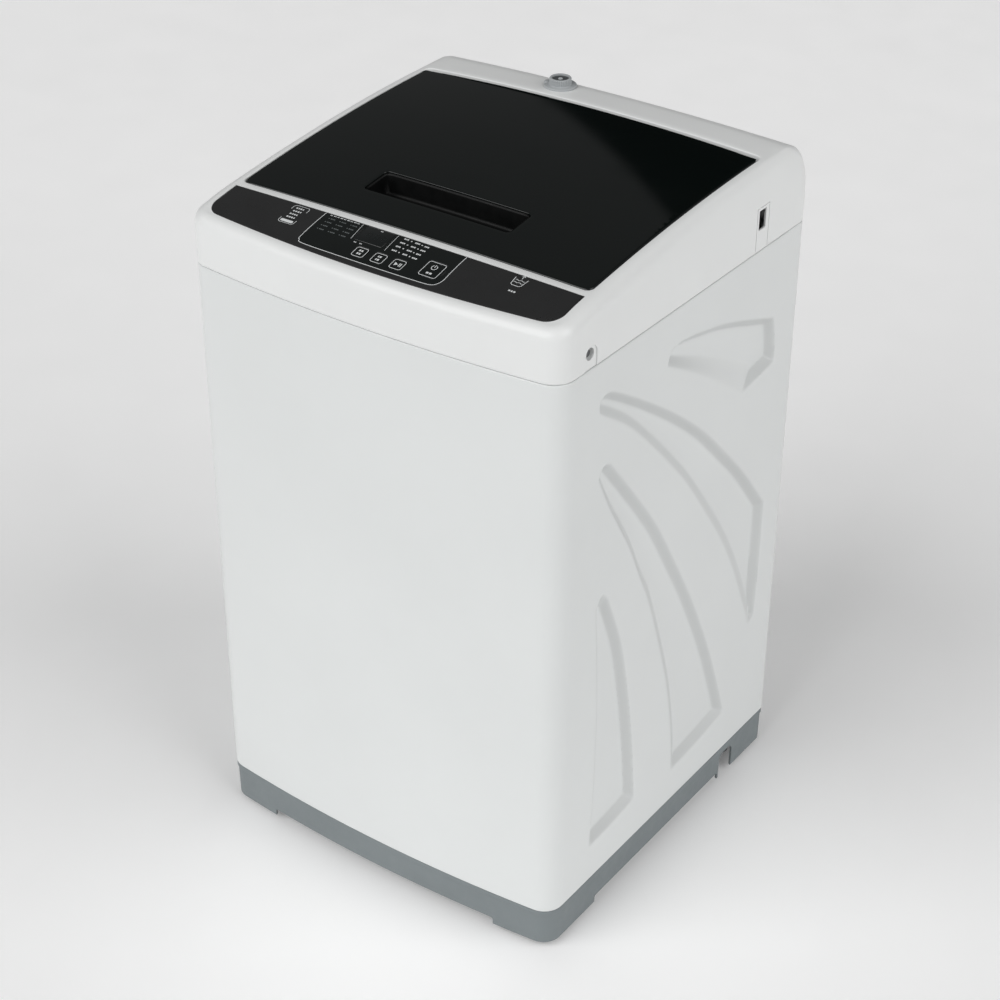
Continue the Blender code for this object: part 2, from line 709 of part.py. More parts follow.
def lid_handle_cup():
    """The finger pocket let into the lid."""
    rows = []
    for shrink, depth in ((0.0, 0.0), (0.0008, 0.008), (0.0030, 0.026)):
        low, high = handle_box(-shrink)
        outline = rounded_rectangle(low, high, 0.004, 2)
        rows.append([(x, y, top_height(x, y) - depth) for x, y in reversed(outline)])
    return skin("lid_handle_cup", rows, BLACK_GLOSS, 0.0018, around=True, cap_last=True, outward=False)


def hinge_pin(name, sx):
    return cylinder(name, (sx * 0.2315, HINGE_Y, HINGE_Z), HINGE_PIN_R, 0.0115, ZINC, "X", 16)


# ---------------------------------------------------------------- water and electrics


def water_inlet_valve():
    """The threaded inlet on the deck, its flange, and the solenoid valve under it."""
    deck = top_height(INLET_X, INLET_Y)
    top = deck + INLET_TOP
    bore, flange, body_r = 0.0105, 0.0195, 0.0135
    profile = [
        (bore, top), (INLET_R - 0.0008, top), (INLET_R, top - 0.0008), (INLET_R, deck + 0.0032),
        (flange - 0.0008, deck + 0.0032), (flange, deck + 0.0024), (flange, deck + 0.0012),
        (body_r, deck + 0.0012), (body_r, 0.8300), (0.0080, 0.8300), (0.0080, 0.8160), (0, 0.8160),
        (0, deck - 0.014), (bore, deck - 0.014),
    ]
    valve = turned("water_inlet_valve", profile, GREY, (INLET_X, INLET_Y), 20)
    join(valve, box("solenoid", (INLET_X - 0.040, INLET_Y - 0.012, 0.832), (INLET_X - 0.010, INLET_Y + 0.012, 0.852)))
    return valve


def inlet_filter_screen():
    deck = top_height(INLET_X, INLET_Y)
    z = deck + INLET_TOP - 0.002
    profile = [(0, z + 0.0012), (0.003, z + 0.0012), (0.003, z), (0.0101, z), (0.0101, z - 0.0014), (0, z - 0.0014)]
    return turned("inlet_filter_screen", profile, GREY, (INLET_X, INLET_Y), 24, closed=False)


def water_inlet_duct():
    """The flat channel that spreads incoming water over the back of the mouth."""
    duct = box("water_inlet_duct", (-0.080, 0.1640, 0.7860), (0.050, 0.2300, 0.8120), WHITE)
    join(duct, box("duct_nozzle", (-0.0450, 0.1560, 0.7900), (0.0450, 0.1700, 0.8060)))
    cut(duct, box("duct_inside", (-0.078, 0.1660, 0.7880), (0.048, 0.2280, 0.8100)))
    cut(duct, box("nozzle_inside", (-0.043, 0.1500, 0.7920), (0.043, 0.1700, 0.8040)))
    cut(duct, cylinder("duct_inlet", (INLET_X, INLET_Y, 0.812), 0.007, 0.01))
    return duct


def pressure_switch():
    switch = cylinder("pressure_switch", (0.110, 0.205, 0.800), 0.026, 0.024, BLUE)
    join(switch, cylinder("switch_spout", (0.110, 0.205, 0.784), 0.004, 0.020, steps=12))
    return switch


def lid_switch():
    switch = box("lid_switch", (0.195, 0.1850, 0.8150), (0.225, 0.2050, 0.8350), WHITE, 0.001)
    join(switch, box("switch_lever", (0.207, 0.1790, 0.8280), (0.213, 0.1880, 0.8310)))
    return switch


def run_capacitor():
    return cylinder("run_capacitor", (-0.120, 0.2330, 0.640), 0.016, 0.085, TUB)


def drain_outlet():
    """The spout inside the base's arch that an outside drain hose pushes onto."""
    spout = cylinder("drain_outlet", (0.2130, 0.1620, 0.0300), 0.0120, 0.046, GREY, "X")
    cut(spout, cylinder("spout_bore", (0.2130, 0.1620, 0.0300), 0.0100, 0.06, axis="X"))
    return spout


def drain_hose():
    """The flexible hose from the drain valve to the spout."""
    route = (
        (-0.0670, 0.1200, 0.1985), (-0.0500, 0.1200, 0.1985), (-0.0200, 0.1280, 0.1850), (0.0100, 0.1500, 0.1300),
        (0.0450, 0.1640, 0.0750), (0.0950, 0.1640, 0.0400), (0.1500, 0.1620, 0.0300), (0.1890, 0.1620, 0.0300),
    )
    return tube("drain_hose", smooth_route(route, 3), 0.0125, GREY, sides=2)


def smooth_route(points, steps):
    """A Catmull-Rom curve through the points."""
    points = [Vector(p) for p in points]
    ends = [2 * points[0] - points[1]] + points + [2 * points[-1] - points[-2]]
    route = []
    for a, b, c, d in zip(ends, ends[1:], ends[2:], ends[3:]):
        for i in range(steps):
            t = i / steps
            route.append(0.5 * (2 * b + (c - a) * t + (2 * a - 5 * b + 4 * c - d) * t**2
                                + (3 * b - a - 3 * c + d) * t**3))
    return route + [points[-1]]


# ---------------------------------------------------------------- tub, basket, drive


def outer_tub():
    wall, floor = 0.0030, 0.0040
    profile = [
        (TUB_R - wall, TUB_TOP), (TUB_R, TUB_TOP), (TUB_R - 0.004, TUB_BOTTOM + 0.012),
        (TUB_R - 0.014, TUB_BOTTOM), (0.052, TUB_BOTTOM), (0.052, TUB_BOTTOM + floor),
        (TUB_R - 0.015, TUB_BOTTOM + floor), (TUB_R - 0.0075, TUB_BOTTOM + 0.014),
    ]
    tub = turned("outer_tub", profile, TUB, steps=32)
    for sx in (-1, 1):
        for sy in (-1, 1):
            side = ("right" if sx > 0 else "left") + ("_back" if sy > 0 else "_front")
            join(tub, tub_lug(f"tub_lug_{side}", sx, sy))
            cut(tub, cylinder(f"lug_hole_{side}", (sx * ROD_X, sy * ROD_Y, 0.23), 0.0068, 0.08, steps=12))
    cut(tub, cylinder("drain_hole", (-0.110, 0.120, TUB_BOTTOM), 0.016, 0.03, steps=16))
    return tub


def tub_lug(name, sx, sy):
    """An arm that reaches out of the tub's lower wall to a suspension rod."""
    reach = Vector((sx * ROD_X, sy * ROD_Y))
    along = reach.normalized()
    side = Vector((-along.y, along.x))
    outline = [along * 0.190 - side * 0.030, reach + along * 0.016 - side * 0.016, reach + along * 0.016 + side * 0.016,
               along * 0.190 + side * 0.030]
    return plate(name, [[(p.x, p.y) for p in outline]], LUG_BOTTOM, TUB_BOTTOM + 0.020)


def tub_cover_ring():
    profile = [
        (0.178, 0.6930), (0.180, 0.7000), (TUB_R, 0.7000), (TUB_R, TUB_TOP + GAP), (TUB_R - 0.006, TUB_TOP + GAP),
        (TUB_R - 0.008, 0.6965), (0.182, 0.6965),
    ]
    return turned("tub_cover_ring", profile, TUB, steps=32)


def drive_bracket():
    """The steel plate under the tub that carries the motor and the clutch."""
    outline = [(-0.150, -0.060), (0.060, -0.075), (0.190, -0.060), (0.190, 0.060), (0.060, 0.075), (-0.150, 0.060)]
    holes = [circle(0, 0, 0.034, 20)]
    return plate("drive_bracket", [outline, *holes], 0.2310, 0.2340, ZINC)


def clutch_housing():
    profile = [
        (0.0190, 0.2340), (0.0320, 0.2340), (0.0330, 0.2000), (0.0480, 0.1960), (0.0480, 0.1350), (0.0300, 0.1300),
        (0.0130, 0.1300), (0.0130, 0.1340), (0.0190, 0.1420),
    ]
    return turned("clutch_housing", profile, CAST, steps=20)


def drive_motor():
    """The induction motor, hung from the drive bracket beside the clutch."""
    profile = [
        (0.0075, 0.2300), (0.0300, 0.2300), (0.0520, 0.2240), (0.0580, 0.2140), (0.0580, 0.1500), (0.0520, 0.1400),
        (0.0200, 0.1360), (0.0200, 0.1300), (0.0075, 0.1300),
    ]
    return turned("drive_motor", profile, CAST, (MOTOR_X, 0), 20)


def pulley(name, x, groove, hub, shaft_top, shaft_r, spec):
    """A grooved wheel with its own shaft."""
    flange = groove + BELT_THICK + 0.003
    half = BELT_WIDTH / 2 + 0.0012
    profile = [
        (0, shaft_top), (shaft_r, shaft_top), (shaft_r, BELT_Z + 0.018), (hub, BELT_Z + 0.018),
        (hub, BELT_Z + half + 0.002), (flange, BELT_Z + half + 0.002), (flange, BELT_Z + half),
        (groove, BELT_Z + half), (groove, BELT_Z - half), (flange, BELT_Z - half),
        (flange, BELT_Z - half - 0.002), (0, BELT_Z - half - 0.002),
    ]
    return turned(name, profile, spec, (x, 0), 24, closed=False)


def belt_outline(extra):
    """The belt's path round both pulleys, this far outside their grooves."""
    big, small = DRIVE_GROOVE_R + extra, MOTOR_GROOVE_R + extra
    lean = math.asin((big - small) / MOTOR_X)
    outline = []
    for angle in spaced(math.pi / 2 - lean, 3 * math.pi / 2 + lean, 20):
        outline.append((big * math.cos(angle), big * math.sin(angle)))
    for angle in spaced(-math.pi / 2 + lean, math.pi / 2 - lean, 12):
        outline.append((MOTOR_X + small * math.cos(angle), small * math.sin(angle)))
    return outline


def drive_belt():
    half = BELT_WIDTH / 2
    outlines = [belt_outline(0.0008 + BELT_THICK), belt_outline(0.0008)]
    return plate("drive_belt", outlines, BELT_Z - half, BELT_Z + half, RUBBER)


def drain_valve():
    """The valve under the tub's drain hole, with a side outlet for the hose."""
    valve = cylinder("drain_valve", (-0.110, 0.120, 0.2110), 0.024, 0.046, WHITE)
    join(
        valve,
        cylinder("valve_neck", (-0.110, 0.120, 0.2420), 0.0150, 0.020, steps=20),
        cylinder("valve_outlet", (-0.085, 0.120, 0.1985), 0.0110, 0.029, axis="X", steps=16),
    )
    cut(
        valve,
        cylinder("valve_inside", (-0.110, 0.120, 0.2260), 0.0120, 0.060, steps=16),
        cylinder("valve_side", (-0.085, 0.120, 0.1985), 0.0080, 0.060, axis="X", steps=12),
    )
    return valve


def drain_actuator():
    return box("drain_actuator", (-0.145, -0.0450, 0.1900), (-0.100, 0.0050, 0.2300), GREY, 0.002)


def drain_pull_rod():
    """The rod that the actuator pulls to open the drain valve and free the brake."""
    return box("drain_pull_rod", (-0.113, 0.0190, 0.2080), (-0.107, 0.0940, 0.2120), ZINC)


def basket_wall():
    wall = 0.0010
    profile = [
        (BASKET_R - wall, BASKET_TOP), (BASKET_R, BASKET_TOP), (BASKET_R, BASKET_BOTTOM + 0.030),
        (BASKET_R - 0.006, BASKET_BOTTOM + 0.022), (BASKET_R - 0.007, BASKET_BOTTOM + 0.023),
        (BASKET_R - wall, BASKET_BOTTOM + 0.0305),
    ]
    return turned("basket_wall", profile, STEEL, steps=32)


def basket_base():
    """The moulded floor of the basket, dished for the pulsator, on its flanged tube."""
    top = BASKET_BOTTOM + 0.0215
    profile = [
        (0.0175, 0.2705), (0.0175, 0.1450), (0.0115, 0.1450), (0.0115, 0.2840), (0.030, 0.2840), (0.150, 0.2760),
        (0.172, top), (BASKET_R - 0.008, top), (BASKET_R - 0.006, top - 0.001), (BASKET_R - 0.012, BASKET_BOTTOM),
        (0.150, BASKET_BOTTOM),
    ]
    return turned("basket_base", profile, TUB, steps=28)


def balance_ring():
    top = BASKET_TOP + 0.028
    profile = [
        (0.168, BASKET_TOP + 0.006), (0.171, top - 0.003), (0.177, top), (0.199, top), (0.205, top - 0.006),
        (0.204, BASKET_TOP + GAP), (0.172, BASKET_TOP + GAP),
    ]
    return turned("balance_ring", profile, TUB, steps=32)


def lint_filter():
    """The clip-on lint pocket on the basket's inner wall."""
    return box("lint_filter", (-0.032, 0.1740, 0.4600), (0.032, 0.1920, 0.6100), WHITE, 0.004)


def pulsator():
    """The wash plate: a shallow dome with four raised, swept blades."""
    rim, low = 0.158, 0.2880
    dome = [(0, 0.3060), (0.022, 0.3060), (0.024, 0.3120), (0.040, 0.3100), (0.090, 0.3020), (0.140, 0.2960),
            (rim, 0.2920), (rim, low), (0, low)]
    plate_obj = turned("pulsator", dome, BLUE, steps=32, closed=False)
    for i in range(4):
        bm = bmesh.new()
        bmesh.ops.create_uvsphere(bm, u_segments=10, v_segments=6, radius=1.0)
        bmesh.ops.scale(bm, vec=(0.060, 0.019, 0.026), verts=bm.verts)
        bmesh.ops.translate(bm, vec=(0.092, 0.0, 0.2990), verts=bm.verts)
        bmesh.ops.rotate(bm, matrix=Matrix.Rotation(math.radians(90 * i + 20), 3, "Z"), verts=bm.verts)
        blade = mesh_object(f"blade_{i}", bm, None)
        join(plate_obj, blade)
    cut(plate_obj, box("blade_trim", (-0.2, -0.2, 0.2), (0.2, 0.2, low)))
    return plate_obj


def pulsator_cap():
    profile = [(0, 0.3165), (0.012, 0.3155), (0.020, 0.3120), (0.0212, 0.3095), (0.0212, 0.3064), (0, 0.3064)]
    return turned("pulsator_cap", profile, WHITE, steps=24, closed=False)


def wash_shaft():
    profile = [(0, 0.2876), (0.0100, 0.2876), (0.0100, 0.1560), (0, 0.1560)]
    return turned("wash_shaft", profile, STEEL, steps=20, closed=False)


def build():
    clear_scene()
    cabinet_shell()
    rear_panel()
    base_frame()
    top_frame()
    rear_service_cover()
    control_fascia()
    for name, low, high in button_boxes():
        panel_pad(name, low, high, FASCIA, 0.003, 0.004)
    low, high = DISPLAY_BOX
    inner = [v + GAP for v in low], [v - GAP for v in high]
    panel_pad("display_lens", *inner, DISPLAY, 0.0017, 0.0022)
    control_tray()
    control_board()
    for side, sx in (("left", -1), ("right", 1)):
        side_screw(f"side_screw_{side}", sx)
        lid_bumper(f"lid_bumper_{side}", sx * 0.205)
        hinge_pin(f"lid_hinge_pin_{side}", sx)
        for end, sy in (("front", -1), ("back", 1)):
            foot(f"{end}_foot_{side}", sx * FOOT_X, sy * FOOT_Y)
            suspension_rod(f"suspension_rod_{end}_{side}", sx * ROD_X, sy * ROD_Y)
            suspension_spring(f"suspension_spring_{end}_{side}", sx * ROD_X, sy * ROD_Y)
    lid_panel()
    lid_inner_panel()
    lid_handle_cup()
    water_inlet_valve()
    inlet_filter_screen()
    water_inlet_duct()
    pressure_switch()
    lid_switch()
    run_capacitor()
    drain_outlet()
    drain_hose()
    outer_tub()
    tub_cover_ring()
    drive_bracket()
    clutch_housing()
    drive_motor()
    pulley("drive_pulley", 0.0, DRIVE_GROOVE_R, 0.016, 0.1500, 0.0100, CAST)
    pulley("motor_pulley", MOTOR_X, MOTOR_GROOVE_R, 0.013, 0.1700, 0.0070, CAST)
    drive_belt()
    drain_valve()
    drain_actuator()
    drain_pull_rod()
    basket_wall()
    basket_base()
    balance_ring()
    lint_filter()
    pulsator()
    pulsator_cap()
    wash_shaft()


build()
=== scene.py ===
"""Looks of the top load washing machine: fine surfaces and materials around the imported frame.

Metres, +Z up, front towards -Y, in the frame's own coordinates.
"""

import math

import bmesh
import bpy
import numpy as np
from mathutils import Matrix, Vector
from mathutils.geometry import delaunay_2d_cdt


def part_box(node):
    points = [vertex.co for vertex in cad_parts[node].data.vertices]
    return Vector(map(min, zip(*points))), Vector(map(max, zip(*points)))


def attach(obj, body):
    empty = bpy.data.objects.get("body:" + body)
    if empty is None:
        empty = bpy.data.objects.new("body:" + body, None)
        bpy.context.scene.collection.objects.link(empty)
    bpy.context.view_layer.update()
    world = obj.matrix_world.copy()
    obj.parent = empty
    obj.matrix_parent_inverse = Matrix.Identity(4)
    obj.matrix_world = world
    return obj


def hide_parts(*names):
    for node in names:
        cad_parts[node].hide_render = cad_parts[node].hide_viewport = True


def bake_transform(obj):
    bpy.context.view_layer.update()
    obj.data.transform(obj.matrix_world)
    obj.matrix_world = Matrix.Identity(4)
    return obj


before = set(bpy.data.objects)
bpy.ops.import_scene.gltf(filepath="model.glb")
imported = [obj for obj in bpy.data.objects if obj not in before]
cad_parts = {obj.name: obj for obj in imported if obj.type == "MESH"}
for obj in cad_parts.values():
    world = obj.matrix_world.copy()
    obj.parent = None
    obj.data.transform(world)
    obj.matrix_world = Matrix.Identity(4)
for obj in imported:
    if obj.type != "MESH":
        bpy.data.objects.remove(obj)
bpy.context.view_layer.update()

# Cabinet, read from the frame where a node's box says it
SHELL_LOW, SHELL_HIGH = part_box("cabinet_shell")
HALF_W = SHELL_HIGH.x
HALF_D = SHELL_HIGH.y
BASE_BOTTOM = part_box("base_frame")[0].z
BASE_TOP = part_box("base_frame")[1].z
SHELL_BOTTOM = SHELL_LOW.z
SHELL_TOP = SHELL_HIGH.z
GAP = 0.0003
SEAM = SHELL_TOP + GAP
SHEET = 0.0008
SKIN = 0.0025
FRONT_BOW = 0.0146
FRONT_CORNER = 0.026
BACK_CORNER = 0.010

# Curved top
ARC_TOP_Y = 0.22
ARC_TOP_Z = 0.8657
ARC_RADIUS = 2.75
REAR_ROUND = 0.045
LID_HALF_W = 0.2315
LID_FRONT_Y = -0.168
RECESS_HALF_W = 0.2325
RECESS_FRONT_Y = -0.1688
DECK_FRONT_Y = 0.174
SHELF_DEPTH = 0.0225
HINGE_Y = 0.1575
HINGE_Z = 0.8595
LID_ROLL = (0.0161, 0.0100)  # radius of the lid's rear edge about the hinge line, middle and ends
LID_SKIRT = 0.010
POCKET_BOX = ((-0.0980, -0.1205), (0.0980, -0.0785))
POCKET_CORNER = 0.0055
MOUTH_HALF_X = 0.185
MOUTH_HALF_Y = 0.150
NECK_RADIUS = 0.160
NECK_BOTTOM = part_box("top_frame")[0].z

# Control panel
FASCIA_HALF_W = 0.2325
FASCIA_BACK_Y = -0.1785
FASCIA_INSET = 0.0145
FASCIA_CORNER = 0.018

INLET_X = -0.060
INLET_Y = 0.205
SCREW_Y = -0.191  # side screws
SCREW_Z = 0.7816

# Below the tub
FOOT_X = 0.205
FOOT_Y = 0.210
ROD_X = 0.200
ROD_Y = 0.205
MOTOR_X = 0.125
BELT_Z = 0.086
DRIVE_GROOVE = 0.0640  # radius of the belt in the drive pulley
MOTOR_GROOVE = DRIVE_GROOVE / 1.9
VALVE_X = -0.110
VALVE_Y = 0.120
HOSE_Z = 0.1985  # the hose leaves the valve at this height
SPOUT_Y = 0.1620
SPOUT_Z = 0.0300

SIDES = (("left", -1), ("right", 1))
CORNERS = [(end, side, sx, sy) for end, sy in (("front", -1), ("back", 1)) for side, sx in SIDES]
QUARTERS = [(sx, sy) for sx in (-1, 1) for sy in (-1, 1)]
QUARTER_TURN = Matrix.Rotation(math.pi / 2, 4, "Y")  # takes Z to X


# ---------------------------------------------------------------- shared surfaces


def front_y(x):
    """The bowed front face."""
    return -HALF_D + FRONT_BOW * (x / HALF_W) ** 2


def lid_line(y):
    """Height of the top edge seen from the side, a long arc that falls towards the front."""
    return ARC_TOP_Z - (y - ARC_TOP_Y) ** 2 / (2 * ARC_RADIUS) - max(0.0, -0.18 - y) ** 2


def crown(y):
    """How far the middle of the top stands above its sides."""
    if y > 0.161:
        return 0.0080 - 0.05 * (y - 0.161)
    return 0.0015 + 0.0161 * (y + 0.243)


def top_height(x, y):
    return lid_line(y) + crown(y) * (1 - (x / LID_HALF_W) ** 2)


def spaced(low, high, count):
    return [low + (high - low) * i / count for i in range(count + 1)]


def smoothstep(value):
    t = np.clip(value, 0.0, 1.0)
    return t * t * (3 - 2 * t)


def ease(value):
    """The smooth step of a single number."""
    return float(smoothstep(value))


def plan_half(front_steps, side_ys, back_steps, corner_steps=12, back_corner_steps=6):
    """Points (x, y, normal x, normal y) of the cabinet's right half in plan, from the front's middle."""
    corner_x = HALF_W - FRONT_CORNER
    slope = 2 * FRONT_BOW * corner_x / HALF_W**2
    start = math.atan2(-1, slope)
    arc_x = corner_x + FRONT_CORNER * math.cos(start)
    corner_y = front_y(arc_x) - FRONT_CORNER * math.sin(start)
    half = []
    for x in spaced(0, arc_x, front_steps)[:-1]:
        normal = Vector((2 * FRONT_BOW * x / HALF_W**2, -1)).normalized()
        half.append((x, front_y(x), normal.x, normal.y))
    for angle in spaced(start, 0, corner_steps):
        c, s = math.cos(angle), math.sin(angle)
        half.append((corner_x + FRONT_CORNER * c, corner_y + FRONT_CORNER * s, c, s))
    half += [(HALF_W, y, 1.0, 0.0) for y in side_ys]
    for angle in spaced(0, math.pi / 2, back_corner_steps):
        c, s = math.cos(angle), math.sin(angle)
        half.append((HALF_W - BACK_CORNER + BACK_CORNER * c, HALF_D - BACK_CORNER + BACK_CORNER * s, c, s))
    half += [(x, HALF_D, 0.0, 1.0) for x in spaced(HALF_W - BACK_CORNER, 0, back_steps)[1:]]
    return half


def plan_outline(*args, **kwargs):
    """The whole cabinet in plan, anticlockwise from the front's middle."""
    half = plan_half(*args, **kwargs)
    return half + [(-x, y, -nx, ny) for x, y, nx, ny in reversed(half[1:-1])]


def rounded_rectangle(low, high, radius, steps=5, spacing=0.0):
    """A rectangle with corner arcs, anticlockwise from its low corner; spacing splits its straight sides."""
    corners = (
        (low[0] + radius, low[1] + radius, 180),
        (high[0] - radius, low[1] + radius, 270),
        (high[0] - radius, high[1] - radius, 0),
        (low[0] + radius, high[1] - radius, 90),
    )
    outline = []
    for x, y, start in corners:
        for i in range(steps + 1):
            angle = math.radians(start + 90 * i / steps)
            outline.append((x + radius * math.cos(angle), y + radius * math.sin(angle)))
    return split_long(outline, spacing) if spacing else outline


def inset_rectangle(low, high, inset, radius, steps=5, spacing=0.0):
    """The rounded rectangle between two corners, moved inwards by inset."""
    near, far = (low[0] + inset, low[1] + inset), (high[0] - inset, high[1] - inset)
    return rounded_rectangle(near, far, radius, steps, spacing)


def raised(outline, height, drop=0.0):
    """A plan outline as points at height(x, y) - drop."""
    return [(x, y, height(x, y) - drop) for x, y in outline]


def split_long(outline, spacing, closed=True):
    """Adds points so that no stretch is longer than spacing."""
    found = []
    ends = outline[1:] + (outline[:1] if closed else [])
    for a, b in zip(outline, ends):
        count = max(1, math.ceil(math.dist(a, b) / spacing))
        found += [tuple(p + (q - p) * i / count for p, q in zip(a, b)) for i in range(count)]
    return found if closed else found + [outline[-1]]


def offset_loop(outline, distance):
    """A closed plan outline moved inwards by this distance, each point along its own normal."""
    count = len(outline)
    moved = []
    for i, point in enumerate(outline):
        before, after = outline[i - 1], outline[(i + 1) % count]
        a = Vector((point[0] - before[0], point[1] - before[1])).normalized()
        b = Vector((after[0] - point[0], after[1] - point[1])).normalized()
        along = (a + b).normalized()
        scale = 1 / max(0.5, along.dot(b))
        moved.append((point[0] - along.y * distance * scale, point[1] + along.x * distance * scale))
    return moved


def catmull(points, steps, closed=False):
    """A smooth curve through the points."""
    points = [Vector(p) for p in points]
    if closed:
        ends = [points[-1]] + points + points[:2]
    else:
        ends = [2 * points[0] - points[1]] + points + [2 * points[-1] - points[-2]]
    route = []
    for a, b, c, d in zip(ends, ends[1:], ends[2:], ends[3:]):
        for i in range(steps):
            t = i / steps
            blend = (3 * b - a - 3 * c + d) * t**3
            route.append(0.5 * (2 * b + (c - a) * t + (2 * a - 5 * b + 4 * c - d) * t**2 + blend))
    return route if closed else route + [points[-1]]


# ---------------------------------------------------------------- mesh helpers

ON_AXIS = 1e-7  # a radius below this lies on the axis
MERGE = 1e-6  # points closer than this become one
CUT_SHARP = 32  # degrees between faces from which an edge stays sharp, after a cut
TUBE_SHARP = 50
GRID_MARGIN = 0.0012  # no inner grid point comes closer than this to an outline


def new_piece(name, bm, material, body, replaced=(), sharp=35, recalc=True, slot=None):
    """Makes an object of the bmesh, gives it its material and lets it ride on its body."""
    if recalc:
        bmesh.ops.recalc_face_normals(bm, faces=list(bm.faces))
    mesh = bpy.data.meshes.new(name)
    bm.to_mesh(mesh)
    bm.free()
    mesh.shade_smooth()
    if sharp:
        mesh.set_sharp_from_angle(angle=math.radians(sharp))
    obj = bpy.data.objects.new(name, mesh)
    bpy.context.scene.collection.objects.link(obj)
    mesh.materials.append(material)
    if body:
        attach(obj, body)
    slot = slot or SLOT_OF.get(material.name)
    if replaced:
        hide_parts(*replaced)
    return obj


def add_grid(bm, rows, around=False, cap=False):
    """Quads through rows of points."""
    grid = [[bm.verts.new(point) for point in row] for row in rows]
    count = len(rows[0])
    for near, far in zip(grid, grid[1:]):
        for i in range(count if around else count - 1):
            j = (i + 1) % count
            bm.faces.new((near[i], near[j], far[j], far[i]))
    if cap:
        bm.faces.new(grid[-1])
    return grid


def grid_piece(name, rows, material, body, replaced=(), around=False, cap=False, wall=0.0):
    bm = bmesh.new()
    add_grid(bm, rows, around, cap)
    obj = new_piece(name, bm, material, body, replaced, recalc=False)
    if wall:
        thicken(obj, wall)
    return obj


def thicken(obj, wall, offset=-1.0):
    shell = obj.modifiers.new("wall", "SOLIDIFY")
    shell.thickness = wall
    shell.offset = offset
    shell.use_even_offset = False
    return obj


def add_box(bm, low, high):
    found = bmesh.ops.create_cube(bm, size=1.0)["verts"]
    size = [h - l for l, h in zip(low, high)]
    centre = [(h + l) / 2 for l, h in zip(low, high)]
    bmesh.ops.scale(bm, vec=size, verts=found)
    bmesh.ops.translate(bm, vec=centre, verts=found)


def add_cylinder(bm, centre, radius, length, steps=32, turn=Matrix()):
    bmesh.ops.create_cone(
        bm, cap_ends=True, segments=steps, radius1=radius, radius2=radius, depth=length,
        matrix=Matrix.Translation(centre) @ turn,
    )


def add_turned(bm, profile, centre=(0.0, 0.0), steps=64, wave=None):
    """Turns (radius, z) points about a vertical axis; wave(angle, radius, z) may shift them."""
    around = list(zip(profile, profile[1:] + profile[:1]))
    if sum(r0 * z1 - r1 * z0 for (r0, z0), (r1, z1) in around) > 0:
        profile = profile[::-1]
    rows = []
    for i in range(steps):
        angle = 2 * math.pi * i / steps
        row = []
        for radius, z in profile:
            if wave:
                radius, z = wave(angle, radius, z)
            x, y = centre[0] + radius * math.cos(angle), centre[1] + radius * math.sin(angle)
            row.append(bm.verts.new((x, y, z)))
        rows.append(row)
    count = len(profile)
    for i in range(steps):
        near, far = rows[i], rows[(i + 1) % steps]
        for j in range(count):
            k = (j + 1) % count
            if profile[j][0] > ON_AXIS or profile[k][0] > ON_AXIS:
                bm.faces.new((near[j], near[k], far[k], far[j]))
    flat = [v for row in rows for v in row]
    bmesh.ops.remove_doubles(bm, verts=flat, dist=MERGE)


def turned_piece(
    name, profile, material, body, replaced=(), centre=(0.0, 0.0), steps=64, sharp=35, wave=None, slot=None
):
    bm = bmesh.new()
    add_turned(bm, profile, centre, steps, wave)
    return new_piece(name, bm, material, body, replaced, sharp, slot=slot)


def rounded_profile(points, radius, steps=3):
    """A profile with its corners rounded; a point may give its own radius as a third number."""
    found = []
    count = len(points)
    for i, point in enumerate(points):
        here = Vector(point[:2])
        before = Vector(points[i - 1][:2]) - here
        after = Vector(points[(i + 1) % count][:2]) - here
        own = min(point[2] if len(point) > 2 else radius, before.length * 0.45, after.length * 0.45)
        if own < MERGE or point[0] < MERGE:
            found.append((here.x, here.y))
            continue
        start, end = here + before.normalized() * own, here + after.normalized() * own
        for t in spaced(0, 1, steps):
            p = start * (1 - t) ** 2 + here * 2 * t * (1 - t) + end * t * t
            found.append((p.x, p.y))
    return found


def tube_piece(name, points, radius_at, material, replaced, sides):
    """A round tube along points that rides on no body; radius_at(run) is its radius there."""
    normal = (points[1] - points[0]).normalized().orthogonal()
    run = 0.0
    rows = []
    for before, point, after in zip(points[:1] + points[:-1], points, points[1:] + points[-1:]):
        along = (after - before).normalized()
        normal = (normal - along * normal.dot(along)).normalized()
        binormal = along.cross(normal)
        run += (point - before).length
        turns = [2 * math.pi * k / sides for k in range(sides)]
        rows.append([point + (normal * math.cos(a) + binormal * math.sin(a)) * radius_at(run) for a in turns])
    bm = bmesh.new()
    grid = add_grid(bm, rows, around=True, cap=True)
    bm.faces.new(list(reversed(grid[0])))
    return new_piece(name, bm, material, None, replaced, TUBE_SHARP)


def cut_with(obj, add_cutters):
    """Cuts the shapes that add_cutters(bmesh) makes out of a piece, in one step."""
    bm = bmesh.new()
    add_cutters(bm)
    mesh = bpy.data.meshes.new(obj.name + "_cut")
    bm.to_mesh(mesh)
    bm.free()
    cutter = bpy.data.objects.new(obj.name + "_cut", mesh)
    bpy.context.scene.collection.objects.link(cutter)
    step = obj.modifiers.new("cut", "BOOLEAN")
    step.operation = "DIFFERENCE"
    step.solver = "EXACT"
    step.object = cutter
    bpy.context.view_layer.update()
    graph = bpy.context.evaluated_depsgraph_get()
    made = bpy.data.meshes.new_from_object(obj.evaluated_get(graph))
    obj.modifiers.clear()
    old = obj.data
    obj.data = made
    bpy.data.meshes.remove(old)
    bpy.data.objects.remove(cutter, do_unlink=True)
    obj.data.shade_smooth()
    obj.data.set_sharp_from_angle(angle=math.radians(CUT_SHARP))
    return obj


